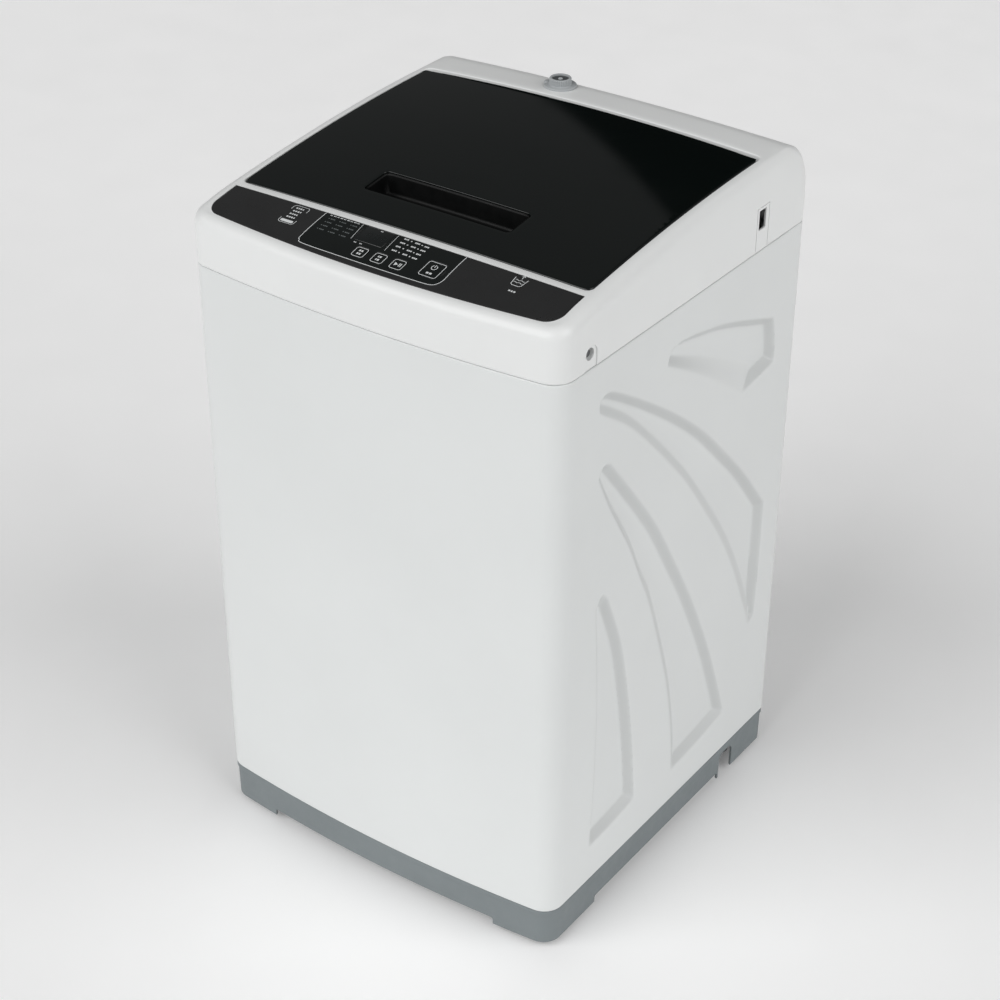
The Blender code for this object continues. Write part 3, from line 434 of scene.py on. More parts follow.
def add_solid(bm, near, far):
    """A closed solid between two loops of points."""
    near, far = [bm.verts.new(p) for p in near], [bm.verts.new(p) for p in far]
    bm.faces.new(list(reversed(near)))
    bm.faces.new(far)
    for i in range(len(near)):
        j = (i + 1) % len(near)
        bm.faces.new((near[i], near[j], far[j], far[i]))


def add_prism(bm, outline, low, high):
    """A prism along Z through an outline of (x, y) points."""
    add_solid(bm, [(x, y, low) for x, y in outline], [(x, y, high) for x, y in outline])


def add_prism_x(bm, outline, low, high):
    """A prism along X through an outline of (y, z) points."""
    add_solid(bm, [(low, y, z) for y, z in outline], [(high, y, z) for y, z in outline])


def filled_surface(bm, outer_rows, hole_rows, height, xs, ys, bend=lambda x, y: (x, y)):
    """A surface z = height(x, y) inside the first outer loop, with rims through the other loops.

    Each loop is a list of (x, y, z). Holes have their own rows of loops. xs and ys are the inner grid lines,
    and bend(x, y) may move their crossings.
    """
    first = [outer_rows[0]] + [rows[0] for rows in hole_rows]
    loops, points = [], []
    for loop in first:
        loops.append(list(range(len(points), len(points) + len(loop))))
        points += [Vector(p[:2]) for p in loop]
    rim_z = [p[2] for loop in first for p in loop]
    polygon, *holes = [np.array([p[:2] for p in loop]) for loop in first]
    grid = np.array([bend(x, y) for x in xs for y in ys])
    keep = inside(grid, polygon) & (edge_distance(grid, polygon) > GRID_MARGIN)
    for hole in holes:
        keep &= ~inside(grid, hole) & (edge_distance(grid, hole) > GRID_MARGIN)
    points += [Vector(p) for p in grid[keep]]
    edges = [(loop[i], loop[(i + 1) % len(loop)]) for loop in loops for i in range(len(loop))]
    found, _, faces, origin, _, _ = delaunay_2d_cdt(points, edges, [], 0, 1e-7)
    verts = []
    for i, place in enumerate(found):
        known = [k for k in origin[i] if k < len(rim_z)]
        z = rim_z[known[0]] if known else height(place.x, place.y)
        verts.append(bm.verts.new((place.x, place.y, z)))
    centres = np.array([[sum(found[k].x for k in f) / 3, sum(found[k].y for k in f) / 3] for f in faces])
    good = inside(centres, polygon)
    for hole in holes:
        good &= ~inside(centres, hole)
    for face, fine in zip(faces, good):
        if fine:
            bm.faces.new([verts[k] for k in face])
    index_of = {}
    for i, sources in enumerate(origin):
        for k in sources:
            index_of[k] = i
    for loop, rows, flip in zip(loops, [outer_rows] + hole_rows, [False] + [True] * len(hole_rows)):
        near = [verts[index_of[k]] for k in loop]
        for row in rows[1:]:
            far = [bm.verts.new(p) for p in row]
            for i in range(len(near)):
                j = (i + 1) % len(near)
                quad = (near[i], far[i], far[j], near[j])
                bm.faces.new(quad[::-1] if flip else quad)
            near = far


def inside(points, polygon):
    """Which points lie inside a closed polygon."""
    result = np.zeros(len(points), bool)
    x, y = points[:, 0], points[:, 1]
    ends = np.roll(polygon, -1, axis=0)
    for (x0, y0), (x1, y1) in zip(polygon, ends):
        crosses = (y0 > y) != (y1 > y)
        if y0 != y1:
            result ^= crosses & (x < (x1 - x0) * (y - y0) / (y1 - y0) + x0)
    return result


def to_segment(points, a, b):
    """Each point's place along a segment, 0 to 1, and its distance from the segment."""
    along = b - a
    t = np.clip(((points - a) @ along) / max(float(along @ along), 1e-18), 0, 1)
    nearest = a + t[:, None] * along
    return t, np.hypot(*(points - nearest).T)


def edge_distance(points, polygon):
    """Distance of each point to a polygon's edge."""
    best = np.full(len(points), np.inf)
    for a, b in zip(polygon, np.roll(polygon, -1, axis=0)):
        best = np.minimum(best, to_segment(points, a, b)[1])
    return best


# ---------------------------------------------------------------- materials


class Nodes:
    """A material's node tree with short calls for the nodes that repeat."""

    def __init__(self, name):
        self.material = bpy.data.materials.new(name)
        self.material.use_nodes = True
        self.tree = self.material.node_tree
        self.shader = self.tree.nodes["Principled BSDF"]
        self.place = self.tree.nodes.new("ShaderNodeTexCoord").outputs["Object"]

    def node(self, kind, **inputs):
        made = self.tree.nodes.new(kind)
        for key, value in inputs.items():
            self.feed(made.inputs[key.replace("_", " ")], value)
        return made

    def feed(self, socket, value):
        if isinstance(value, bpy.types.NodeSocket):
            self.tree.links.new(value, socket)
        else:
            socket.default_value = value

    def set(self, **inputs):
        for key, value in inputs.items():
            self.feed(self.shader.inputs[key.replace("_", " ")], value)

    def stretched(self, scale):
        mapping = self.node("ShaderNodeMapping", Vector=self.place)
        mapping.inputs["Scale"].default_value = scale
        return mapping.outputs["Vector"]

    def noise(self, scale, detail=4.0, roughness=0.55, vector=None):
        made = self.node("ShaderNodeTexNoise", Scale=scale, Detail=detail, Roughness=roughness)
        self.tree.links.new(vector or self.place, made.inputs["Vector"])
        return made.outputs["Fac"]

    def voronoi(self, scale, feature="F1", vector=None):
        made = self.node("ShaderNodeTexVoronoi", Scale=scale)
        made.feature = feature
        self.tree.links.new(vector or self.place, made.inputs["Vector"])
        return made.outputs["Distance"]

    def ramp(self, value, low, high, start=0.0, end=1.0):
        made = self.node("ShaderNodeMapRange", Value=value)
        made.inputs["From Min"].default_value = low
        made.inputs["From Max"].default_value = high
        made.inputs["To Min"].default_value = start
        made.inputs["To Max"].default_value = end
        return made.outputs["Result"]

    def mix(self, value, first, second):
        made = self.tree.nodes.new("ShaderNodeMix")
        made.data_type = "RGBA"
        self.feed(made.inputs[0], value)
        self.feed(made.inputs[6], first if isinstance(first, bpy.types.NodeSocket) else (*first, 1.0))
        self.feed(made.inputs[7], second if isinstance(second, bpy.types.NodeSocket) else (*second, 1.0))
        return made.outputs[2]

    def split(self, vector):
        made = self.tree.nodes.new("ShaderNodeSeparateXYZ")
        self.tree.links.new(vector, made.inputs["Vector"])
        return made.outputs

    def maths(self, operation, a, b=0.0):
        made = self.tree.nodes.new("ShaderNodeMath")
        made.operation = operation
        self.feed(made.inputs[0], a)
        self.feed(made.inputs[1], b)
        return made.outputs[0]

    def bump(self, height, strength, distance, under=None):
        made = self.node("ShaderNodeBump", Height=height, Strength=strength, Distance=distance)
        if under:
            self.tree.links.new(under, made.inputs["Normal"])
        self.tree.links.new(made.outputs["Normal"], self.shader.inputs["Normal"])
        return made.outputs["Normal"]

    def edges(self, low=0.53, high=0.60):
        """1 along worn outer edges, 0 elsewhere."""
        geometry = self.tree.nodes.new("ShaderNodeNewGeometry")
        return self.ramp(geometry.outputs["Pointiness"], low, high)


def tint(colour, factor):
    return tuple(min(1.0, c * factor) for c in colour)


def painted_slope_shade(n):
    """1 on the sloping walls of the leaves pressed into the cabinet's sides, 0 elsewhere: where shade is
    painted into the enamel.
    """
    facing = n.split(n.tree.nodes.new("ShaderNodeTexCoord").outputs["Normal"])
    place = n.split(n.place)
    tilt = n.ramp(n.maths("ABSOLUTE", facing["X"]), 0.985, 0.86)
    side = n.ramp(n.maths("ABSOLUTE", place["X"]), HALF_W - 0.013, HALF_W - 0.012)
    within = n.ramp(n.maths("ABSOLUTE", n.maths("SUBTRACT", place["Y"], 0.016)), 0.204, 0.200)
    return n.maths("MULTIPLY", tilt, n.maths("MULTIPLY", side, within))


def painted_steel():
    """Baked white enamel on sheet, a very fine orange peel, and painted shade on the sloping walls of the
    pressed leaves.
    """
    n = Nodes("painted_steel")
    colour = (0.725, 0.742, 0.738)
    cloud = n.noise(5.0, 5.0)
    enamel = n.mix(n.ramp(cloud, 0.35, 0.7), tint(colour, 0.985), tint(colour, 1.012))
    # Painted shade: the leaves' sloping walls are mixed 14% towards a dark tint of the enamel
    n.set(Base_Color=n.mix(n.maths("MULTIPLY", painted_slope_shade(n), 0.14), enamel, tint(colour, 0.25)))
    n.set(Roughness=n.ramp(n.noise(9.0, 1.0), 0.3, 0.75, 0.33, 0.36))
    n.set(Coat_Weight=0.25, Coat_Roughness=0.12, IOR=1.5)
    n.bump(n.noise(70.0, 2.0), 0.012, 0.0010)
    return n.material


def white_plastic(name="white_moulding", colour=(0.79, 0.80, 0.795), rough=(0.31, 0.34), grain=0.02):
    """Injection moulded ABS: fine spark grain, soft sheen, a hint of warmth on worn edges."""
    n = Nodes(name)
    cloud = n.noise(9.0, 4.0)
    base = n.mix(n.ramp(cloud, 0.3, 0.75), tint(colour, 0.985), tint(colour, 1.012))
    n.set(Base_Color=n.mix(n.maths("MULTIPLY", n.edges(), 0.12), base, tint(colour, 1.08)))
    n.set(Roughness=n.ramp(n.noise(11.0, 1.0), 0.3, 0.75, *rough), IOR=1.5)
    n.bump(n.noise(260.0, 2.0), grain, 0.00015)
    return n.material


def grey_plastic(name="grey_moulding", colour=(0.192, 0.217, 0.225), rough=(0.48, 0.62), grain=0.35):
    """Textured grey polypropylene with pale scuffs on its edges."""
    n = Nodes(name)
    cloud = n.noise(14.0, 6.0)
    base = n.mix(n.ramp(cloud, 0.3, 0.75), tint(colour, 0.95), tint(colour, 1.05))
    scuff = n.maths("MULTIPLY", n.edges(0.54, 0.62), n.ramp(n.noise(240.0, 5.0), 0.5, 0.7))
    n.set(Base_Color=n.mix(n.maths("MULTIPLY", scuff, 0.3), base, tint(colour, 1.5)))
    n.set(Roughness=n.ramp(n.noise(90.0, 5.0), 0.3, 0.75, *rough), IOR=1.48)
    n.bump(n.voronoi(900.0), grain, 0.0003)
    return n.material


def gloss_black():
    """High gloss black lid: nearly mirror flat, with faint wipe marks in its sheen."""
    n = Nodes("gloss_black")
    wipe = n.noise(3.0, 5.0, 0.6, n.stretched((1.0, 3.5, 1.0)))
    n.set(Base_Color=n.mix(n.ramp(wipe, 0.3, 0.8), (0.0032, 0.0048, 0.0045), (0.0045, 0.0060, 0.0056)))
    n.set(Roughness=n.ramp(n.noise(21.0, 7.0, 0.7), 0.35, 0.8, 0.050, 0.095))
    n.set(IOR=1.49)
    n.bump(n.noise(7.0, 1.0), 0.02, 0.002)
    return n.material


def pocket_black():
    """The pocket's moulding: the lid's black with a fine satin texture."""
    n = Nodes("pocket_black")
    cloud = n.ramp(n.noise(30.0, 3.0), 0.3, 0.8)
    n.set(Base_Color=n.mix(cloud, (0.0012, 0.0014, 0.0014), (0.0020, 0.0022, 0.0022)))
    n.set(Roughness=n.ramp(n.noise(90.0, 4.0), 0.3, 0.8, 0.38, 0.48), Specular_IOR_Level=0.18)
    n.bump(n.noise(900.0, 2.0), 0.05, 0.0001)
    return n.material


def film(name, colour, rough=(0.26, 0.34)):
    """Printed panel film with a hair-fine texture."""
    n = Nodes(name)
    cloud = n.noise(30.0, 4.0)
    n.set(Base_Color=n.mix(n.ramp(cloud, 0.3, 0.75), tint(colour, 0.93), tint(colour, 1.07)))
    n.set(Roughness=n.ramp(n.noise(120.0, 5.0), 0.3, 0.75, *rough), IOR=1.48)
    n.bump(n.noise(3200.0, 2.0), 0.12, 0.0001)
    return n.material


def ink(name, colour):
    """Screen printed ink, a little uneven at its edges."""
    n = Nodes(name)
    n.set(Base_Color=n.mix(n.ramp(n.noise(900.0, 3.0), 0.35, 0.7), tint(colour, 0.9), colour))
    n.set(Roughness=n.ramp(n.noise(400.0, 3.0), 0.3, 0.7, 0.4, 0.55))
    n.bump(n.noise(4200.0, 2.0), 0.1, 0.00006)
    return n.material


def brushed_steel(name, colour, stretch, rough=(0.22, 0.34), grain=0.2):
    """Metal with fine brush lines along its short scale."""
    n = Nodes(name)
    lines = n.noise(60.0, 6.0, 0.6, n.stretched(stretch))
    stain = n.noise(11.0, 5.0)
    n.set(Base_Color=n.mix(n.ramp(stain, 0.3, 0.8), tint(colour, 0.93), tint(colour, 1.04)), Metallic=1.0)
    n.set(Roughness=n.ramp(lines, 0.3, 0.75, *rough))
    n.bump(lines, grain, 0.00012)
    return n.material


def cast_metal():
    """Die cast aluminium: dull, with a sandy skin."""
    n = Nodes("cast_metal")
    colour = (0.46, 0.47, 0.48)
    cloud = n.ramp(n.noise(40.0, 6.0), 0.3, 0.75)
    n.set(Base_Color=n.mix(cloud, tint(colour, 0.85), tint(colour, 1.08)), Metallic=0.9)
    n.set(Roughness=n.ramp(n.noise(160.0, 5.0), 0.3, 0.75, 0.42, 0.6))
    n.bump(n.noise(700.0, 5.0), 0.35, 0.0004)
    return n.material


def rubber():
    """Black rubber with a dusty bloom."""
    n = Nodes("rubber")
    cloud = n.ramp(n.noise(60.0, 6.0), 0.35, 0.8)
    n.set(Base_Color=n.mix(cloud, (0.012, 0.012, 0.012), (0.035, 0.035, 0.034)))
    n.set(Roughness=n.ramp(n.noise(130.0, 4.0), 0.3, 0.75, 0.65, 0.85))
    n.bump(n.noise(900.0, 4.0), 0.3, 0.0003)
    return n.material


def circuit_board_green():
    n = Nodes("circuit_board_green")
    tracks = n.voronoi(260.0, "DISTANCE_TO_EDGE")
    n.set(Base_Color=n.mix(n.ramp(tracks, 0.02, 0.05), (0.06, 0.24, 0.10), (0.025, 0.13, 0.045)))
    n.set(Roughness=n.ramp(n.noise(200.0, 3.0), 0.3, 0.7, 0.3, 0.5))
    n.bump(tracks, 0.2, 0.0001)
    return n.material


def smoked_glass():
    n = Nodes("smoked_glass")
    cloud = n.ramp(n.noise(50.0, 3.0), 0.3, 0.7)
    n.set(Base_Color=n.mix(cloud, (0.004, 0.0055, 0.0055), (0.007, 0.009, 0.009)))
    n.set(Roughness=n.ramp(n.noise(60.0, 5.0), 0.3, 0.8, 0.04, 0.09), Coat_Weight=0.5, Coat_Roughness=0.03)
    return n.material


def pale_floor():
    n = Nodes("pale_floor")
    n.set(Base_Color=n.mix(n.ramp(n.noise(1.5, 3.0), 0.3, 0.7), (0.90, 0.90, 0.90), (0.92, 0.92, 0.92)))
    n.set(Roughness=n.ramp(n.noise(9.0, 4.0), 0.3, 0.7, 0.55, 0.7))
    n.set(Emission_Color=(1.0, 1.0, 1.0, 1.0), Emission_Strength=0.12)
    return n.material


STEEL_PAINT = painted_steel()
WHITE = white_plastic()
GREY = grey_plastic()
PALE_GREY = grey_plastic("pale_grey_moulding", (0.40, 0.42, 0.43), (0.38, 0.5), 0.18)
DARK_GREY = grey_plastic("dark_grey_moulding", (0.075, 0.082, 0.085), (0.45, 0.6), 0.2)
TUB = grey_plastic("tub_moulding", (0.60, 0.62, 0.63), (0.42, 0.56), 0.15)
RING = white_plastic("ring_moulding", (0.70, 0.72, 0.73), (0.30, 0.42), 0.04)
BLUE = white_plastic("pale_blue_moulding", (0.42, 0.54, 0.68), (0.28, 0.40), 0.04)
BLACK = gloss_black()
POCKET = pocket_black()
CHARCOAL = film("charcoal_film", (0.0205, 0.0208, 0.0210))
ZONE = film("control_film", (0.0060, 0.0078, 0.0074), (0.16, 0.22))
GLASS = smoked_glass()
INK = ink("white_ink", (0.74, 0.76, 0.76))
DIM_INK = ink("dim_ink", (0.13, 0.145, 0.145))
SEGMENT = ink("unlit_segment", (0.020, 0.024, 0.024))
STAINLESS = brushed_steel("stainless", (0.60, 0.60, 0.61), (1.0, 1.0, 24.0))
ZINC = brushed_steel("zinc_plate", (0.48, 0.49, 0.51), (4.0, 4.0, 1.0), (0.3, 0.45), 0.1)
# A darker copy of the zinc plate: painted shade, so the side screw heads read as the dark of their wells
SHADED_ZINC = brushed_steel("zinc_plate_painted_shade", (0.16, 0.165, 0.17), (4.0, 4.0, 1.0), (0.35, 0.5), 0.1)
CAST = cast_metal()
RUBBER = rubber()
PCB = circuit_board_green()
SLOTS = {
    "white_painted_steel": (STEEL_PAINT,),
    "white_plastic": (WHITE,),
    "grey_plastic": (GREY, PALE_GREY, DARK_GREY),
    "tub_plastic": (TUB, RING),
    "blue_plastic": (BLUE,),
    "black_gloss_lid": (BLACK, POCKET),
    "charcoal_fascia": (CHARCOAL, ZONE),
    "smoked_display": (GLASS,),
    "stainless_steel": (STAINLESS,),
    "zinc_steel": (ZINC, SHADED_ZINC),
    "cast_aluminium": (CAST,),
    "black_rubber": (RUBBER,),
    "circuit_board": (PCB,),
}
SLOT_OF = {material.name: slot for slot, materials in SLOTS.items() for material in materials}


# ---------------------------------------------------------------- camera, light, floor


def look_from():
    """The three-quarter view from above the front right corner."""
    camera = bpy.data.cameras.new("camera")
    camera.lens = 77.99
    camera.sensor_width = 36.0
    camera.clip_end = 50.0
    obj = bpy.data.objects.new("camera", camera)
    bpy.context.scene.collection.objects.link(obj)
    forward = Vector((-0.49281, 0.68902, -0.53140)).normalized()
    right = forward.cross(Vector((0, 0, 1))).normalized()
    up = right.cross(forward)
    roll = math.radians(0.2091)
    right, up = right * math.cos(roll) + up * math.sin(roll), up * math.cos(roll) - right * math.sin(roll)
    turn = Matrix((right, up, -forward)).transposed().to_4x4()
    obj.matrix_world = Matrix.Translation((1.29856, -1.81417, 1.81873)) @ turn
    bpy.context.scene.camera = obj


SURROUND = 0.22
BACK_CARD = 0.11
KEYS = (("front_key", 1.80, (-0.27, -0.78, 0.57)), ("side_key", 1.28, (0.84, 0.06, 0.54)))


def studio():
    """Two soft keys, a dim surround that is darker behind, and a pale floor."""
    world = bpy.data.worlds.new("studio")
    world.use_nodes = True
    bpy.context.scene.world = world
    tree = world.node_tree
    tree.nodes["Background"].inputs["Color"].default_value = (1.0, 1.0, 1.0, 1.0)
    direction = tree.nodes.new("ShaderNodeTexCoord").outputs["Generated"]

    def band(toward, low, high, start, end):
        dot = tree.nodes.new("ShaderNodeVectorMath")
        dot.operation = "DOT_PRODUCT"
        dot.inputs[1].default_value = Vector(toward).normalized()
        tree.links.new(direction, dot.inputs[0])
        level = tree.nodes.new("ShaderNodeMapRange")
        for name, value in (("From Min", low), ("From Max", high), ("To Min", start), ("To Max", end)):
            level.inputs[name].default_value = value
        tree.links.new(dot.outputs["Value"], level.inputs["Value"])
        return level.outputs["Result"]

    blend = tree.nodes.new("ShaderNodeMix")
    blend.inputs[2].default_value = SURROUND
    tree.links.new(band((-0.50, 0.70, 0.51), 0.66, 0.80, 0.0, 1.0), blend.inputs[0])
    tree.links.new(band((0.678, 0.665, -0.312), -0.006, 0.006, BACK_CARD, 0.0), blend.inputs[3])
    tree.links.new(blend.outputs[0], tree.nodes["Background"].inputs["Strength"])
    for name, power, comes_from in KEYS:
        sun = bpy.data.lights.new(name, "SUN")
        sun.energy = power
        sun.angle = math.radians(55)
        obj = bpy.data.objects.new(name, sun)
        bpy.context.scene.collection.objects.link(obj)
        obj.rotation_euler = Vector(comes_from).to_track_quat("Z", "Y").to_euler()
    bpy.context.scene.view_settings.view_transform = "Standard"
    bm = bmesh.new()
    bmesh.ops.create_grid(bm, x_segments=8, y_segments=8, size=12.0)
    new_piece("floor", bm, pale_floor(), None, recalc=False)


# ---------------------------------------------------------------- steel cabinet

EMBOSS_DEPTH = 0.0095
LEAVES = (
    # Each leaf is a ring of edges: points (y, z) in metres, and how wide the slope inside that edge is.
    (
        (
            (
                (-0.038, 0.701), (-0.030, 0.716), (-0.006, 0.719), (0.040, 0.711), (0.100, 0.696),
                (0.198, 0.661),
            ),
            0.010,
        ),
        (((0.198, 0.661), (0.204, 0.632), (0.207, 0.600)), 0.010),
        (((0.207, 0.600), (0.131, 0.590)), 0.011),
        (((0.131, 0.590), (0.045, 0.650), (-0.038, 0.701)), (0.036, 0.010)),
    ),
    (
        (
            (
                (-0.171, 0.703), (-0.169, 0.716), (-0.155, 0.721), (-0.128, 0.708), (-0.068, 0.669),
                (-0.002, 0.621),
                (0.052, 0.576), (0.110, 0.518), (0.153, 0.472), (0.209, 0.402),
            ),
            0.010,
        ),
        (((0.209, 0.402), (0.209, 0.330), (0.206, 0.234)), 0.010),
        (((0.206, 0.234), (0.191, 0.228)), 0.010),
        (
            (
                (0.191, 0.228), (0.172, 0.273), (0.143, 0.336), (0.107, 0.399), (0.064, 0.461),
                (0.025, 0.514),
                (-0.012, 0.558), (-0.063, 0.613), (-0.113, 0.661), (-0.171, 0.703),
            ),
            (0.024, 0.011),
        ),
    ),
    (
        (((-0.169, 0.622), (-0.160, 0.634), (-0.146, 0.631)), 0.012),
        (
            (
                (-0.146, 0.631), (-0.108, 0.584), (-0.068, 0.533), (-0.038, 0.491), (0.000, 0.428),
                (0.043, 0.353),
                (0.089, 0.260), (0.122, 0.179), (0.143, 0.120),
            ),
            0.010,
        ),
        (((0.143, 0.120), (0.080, 0.111), (0.017, 0.106)), 0.012),
        (
            (
                (0.017, 0.106), (0.013, 0.160), (-0.001, 0.238), (-0.023, 0.312), (-0.054, 0.399),
                (-0.078, 0.449),
                (-0.102, 0.501), (-0.144, 0.572), (-0.169, 0.622),
            ),
            (0.021, 0.010),
        ),
    ),
    (
        (((-0.166, 0.452), (-0.155, 0.466), (-0.143, 0.458)), 0.016),
        (
            ((-0.143, 0.458), (-0.111, 0.378), (-0.091, 0.293), (-0.077, 0.209), (-0.067, 0.119)),
            0.010,
        ),
        (((-0.067, 0.119), (-0.115, 0.113), (-0.165, 0.110)), 0.012),
        (((-0.165, 0.110), (-0.159, 0.200), (-0.158, 0.320), (-0.166, 0.452)), 0.013),
    ),
)


def wall_profile(t):
    """A straight slope from 0 to 1 with rounded ends."""
    t = np.clip(t, 0.0, 1.0)
    return 0.75 * t + 0.25 * smoothstep(t)


def slope_share(points, line, width):
    """How far across the wall inside an edge each point is: 0 on the edge, 1 a wall's width from it."""
    best = np.ones(len(points))
    widths = np.linspace(*np.broadcast_to(width, 2), len(line))
    for a, b, start, end in zip(line, line[1:], widths, widths[1:]):
        t, distance = to_segment(points, a, b)
        best = np.minimum(best, distance / (start + (end - start) * t))
    return best


def emboss(points):
    """How deep the pressed leaves are at points (y, z) of a cabinet side."""
    depth = np.zeros(len(points))
    for leaf in LEAVES:
        curves = [(np.array([tuple(p) for p in catmull(line, 10)]), width) for line, width in leaf]
        ring = np.concatenate([line[:-1] for line, _ in curves])
        within = inside(points, ring)
        level = np.ones(len(points))
        for line, width in curves:
            level = np.minimum(level, wall_profile(slope_share(points, line, width)))
        depth += np.where(within, level, 0.0)
    return depth * EMBOSS_DEPTH


def cabinet_wrap():
    """The steel wrap with leaves pressed into both sides and hems at top and bottom."""
    fine = 0.0024  # mesh size where the leaves are
    y_low, y_high = -0.182, 0.220
    side_ys = spaced(-0.215, y_low - 0.008, 3) + spaced(y_low, y_high, round((y_high - y_low) / fine))
    side_ys += [0.232, 0.244]
    outline = plan_outline(28, side_ys, 1)
    middle = outline.index((0, HALF_D, 0.0, 1.0))
    strip = outline[middle + 1 :] + outline[:middle]
    return_x = HALF_W - 0.028
    strip = [(-return_x, HALF_D, 0.0, 1.0), *strip, (return_x, HALF_D, 0.0, 1.0)]
    z_low, z_high = 0.098, 0.728
    zs = spaced(SHELL_BOTTOM + 0.0022, z_low - 0.008, 3)
    zs += spaced(z_low, z_high, round((z_high - z_low) / fine))
    zs += spaced(z_high + 0.008, SHELL_TOP - 0.0022, 2)
    hem = [(0.010, 0.0), (0.0014, 0.0), (0.0006, 0.0003), (0.0001, 0.0011)]
    rows = [(inset, SHELL_BOTTOM + rise) for inset, rise in hem]
    rows += [(0.0, z) for z in zs]
    rows += [(inset, SHELL_TOP - rise) for inset, rise in reversed(hem)]
    plan = np.array(strip)
    flank = np.abs(plan[:, 2]) > 0.999
    mesh_rows = []
    for inset, z in rows:
        depth = np.full(len(plan), inset)
        if z_low < z < z_high:
            depth[flank] += emboss(np.column_stack((plan[flank, 1], np.full(flank.sum(), z))))
        mesh_rows.append([(x - nx * d, y - ny * d, z) for (x, y, nx, ny), d in zip(strip, depth)])
    grid_piece("cabinet_wrap", mesh_rows, STEEL_PAINT, "cabinet", ["cabinet_shell"], wall=SHEET)


def hanger_plates():
    """Corner plates with a pressed seat for each suspension rod."""
    bm = bmesh.new()
    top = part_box("suspension_rod_front_left")[1].z - 0.0135
    edge_x, reach, chamfer, half_thick = HALF_W - 0.0012, 0.085, 0.03, 0.0015
    for sx, sy in QUARTERS:
        edge_y = HALF_D - 0.0035 if sy > 0 else -front_y(edge_x - chamfer) - 0.0012
        outline = [(edge_x, edge_y - reach), (edge_x, edge_y - chamfer), (edge_x - chamfer, edge_y)]
        outline = [(sx * x, sy * y) for x, y in [*outline, (edge_x - reach, edge_y)]]
        if sx * sy < 0:
            outline.reverse()
        add_prism(bm, outline, top - half_thick, top + half_thick)
    new_piece("hanger_plates", bm, ZINC, "cabinet", slot="white_painted_steel")


# ---------------------------------------------------------------- top moulding


EDGE_ROUND = 0.0140  # rounding of the moulding's front edge


def side_edge(y):
    """Width and height of the rounded edge along the sides: soft at the front, a crisp crease at the back."""
    share = ease((y + 0.20) / 0.32)
    return EDGE_ROUND - 0.0032 * share, EDGE_ROUND + 0.0330 * share


def roof(x, y):
    """The moulding's top, rolled down into the back wall."""
    flat = HALF_D - REAR_ROUND
    over = min(REAR_ROUND, max(0.0, y - flat))
    return top_height(x, min(y, flat)) - REAR_ROUND + math.sqrt(REAR_ROUND**2 - over**2)


def shoulder_point(point, turn):
    """A point of the rounded edge above an outline point; turn goes from 0 at the wall to a right angle."""
    x, y, nx, ny = point
    c, s = math.cos(turn), math.sin(turn)
    side, fall = side_edge(y)
    if y < 0.15:
        inset = EDGE_ROUND * ny * ny + side * (1 - ny * ny)
        fall = EDGE_ROUND * ny * ny + fall * (1 - ny * ny)
        px, py = x - nx * inset, y - ny * inset
        wall_x, wall_y = x - nx * inset * (1 - c), y - ny * inset * (1 - c)
        return (wall_x, wall_y, top_height(px, py) - fall * (1 - s))
    edge_x, edge_y = HALF_W - side * (1 - c), HALF_D - REAR_ROUND * (1 - c)
    radius = BACK_CORNER * (0.4 + 0.6 * c)
    if ny > 0.9999:
        px, py = x * (edge_x - radius) / (HALF_W - BACK_CORNER), edge_y
    elif ny > 0:
        px, py = math.copysign(edge_x - radius + radius * abs(nx), x), edge_y - radius + radius * ny
    else:
        start, end = HALF_D - 0.085, HALF_D - BACK_CORNER
        share = max(0.0, (y - start) / (end - start))
        px = math.copysign(edge_x, x)
        py = start + share * (edge_y - radius - start) if share else y
    return (px, py, roof(px, py) - fall * (1 - s) * (1 - ny * ny))


def ray_to_rounded(angle, half_w, low_y, high_y, radius):
    """Where a ray from the middle meets a rectangle with round corners."""
    c, s = math.cos(angle), math.sin(angle)
    reach = half_w / abs(c) if abs(c) > 1e-9 else math.inf
    edge = high_y if s > 0 else -low_y
    if abs(s) > 1e-9:
        reach = min(reach, edge / abs(s))
    x, y = reach * c, reach * s
    corner = Vector((math.copysign(half_w - radius, x), (high_y - radius) if s > 0 else (low_y + radius)))
    if abs(x) > abs(corner.x) and abs(y) > abs(corner.y):
        ray = Vector((c, s))
        along = corner.dot(ray)
        off = corner.length_squared - along * along
        reach = along + math.sqrt(max(0.0, radius * radius - off))
        x, y = reach * c, reach * s
    return x, y


def ray_to_mouth(angle, grow=0.0):
    power = 4
    c = abs(math.cos(angle)) / (MOUTH_HALF_X + grow)
    s = abs(math.sin(angle)) / (MOUTH_HALF_Y + grow)
    reach = (c**power + s**power) ** (-1 / power)
    return reach * math.cos(angle), reach * math.sin(angle)


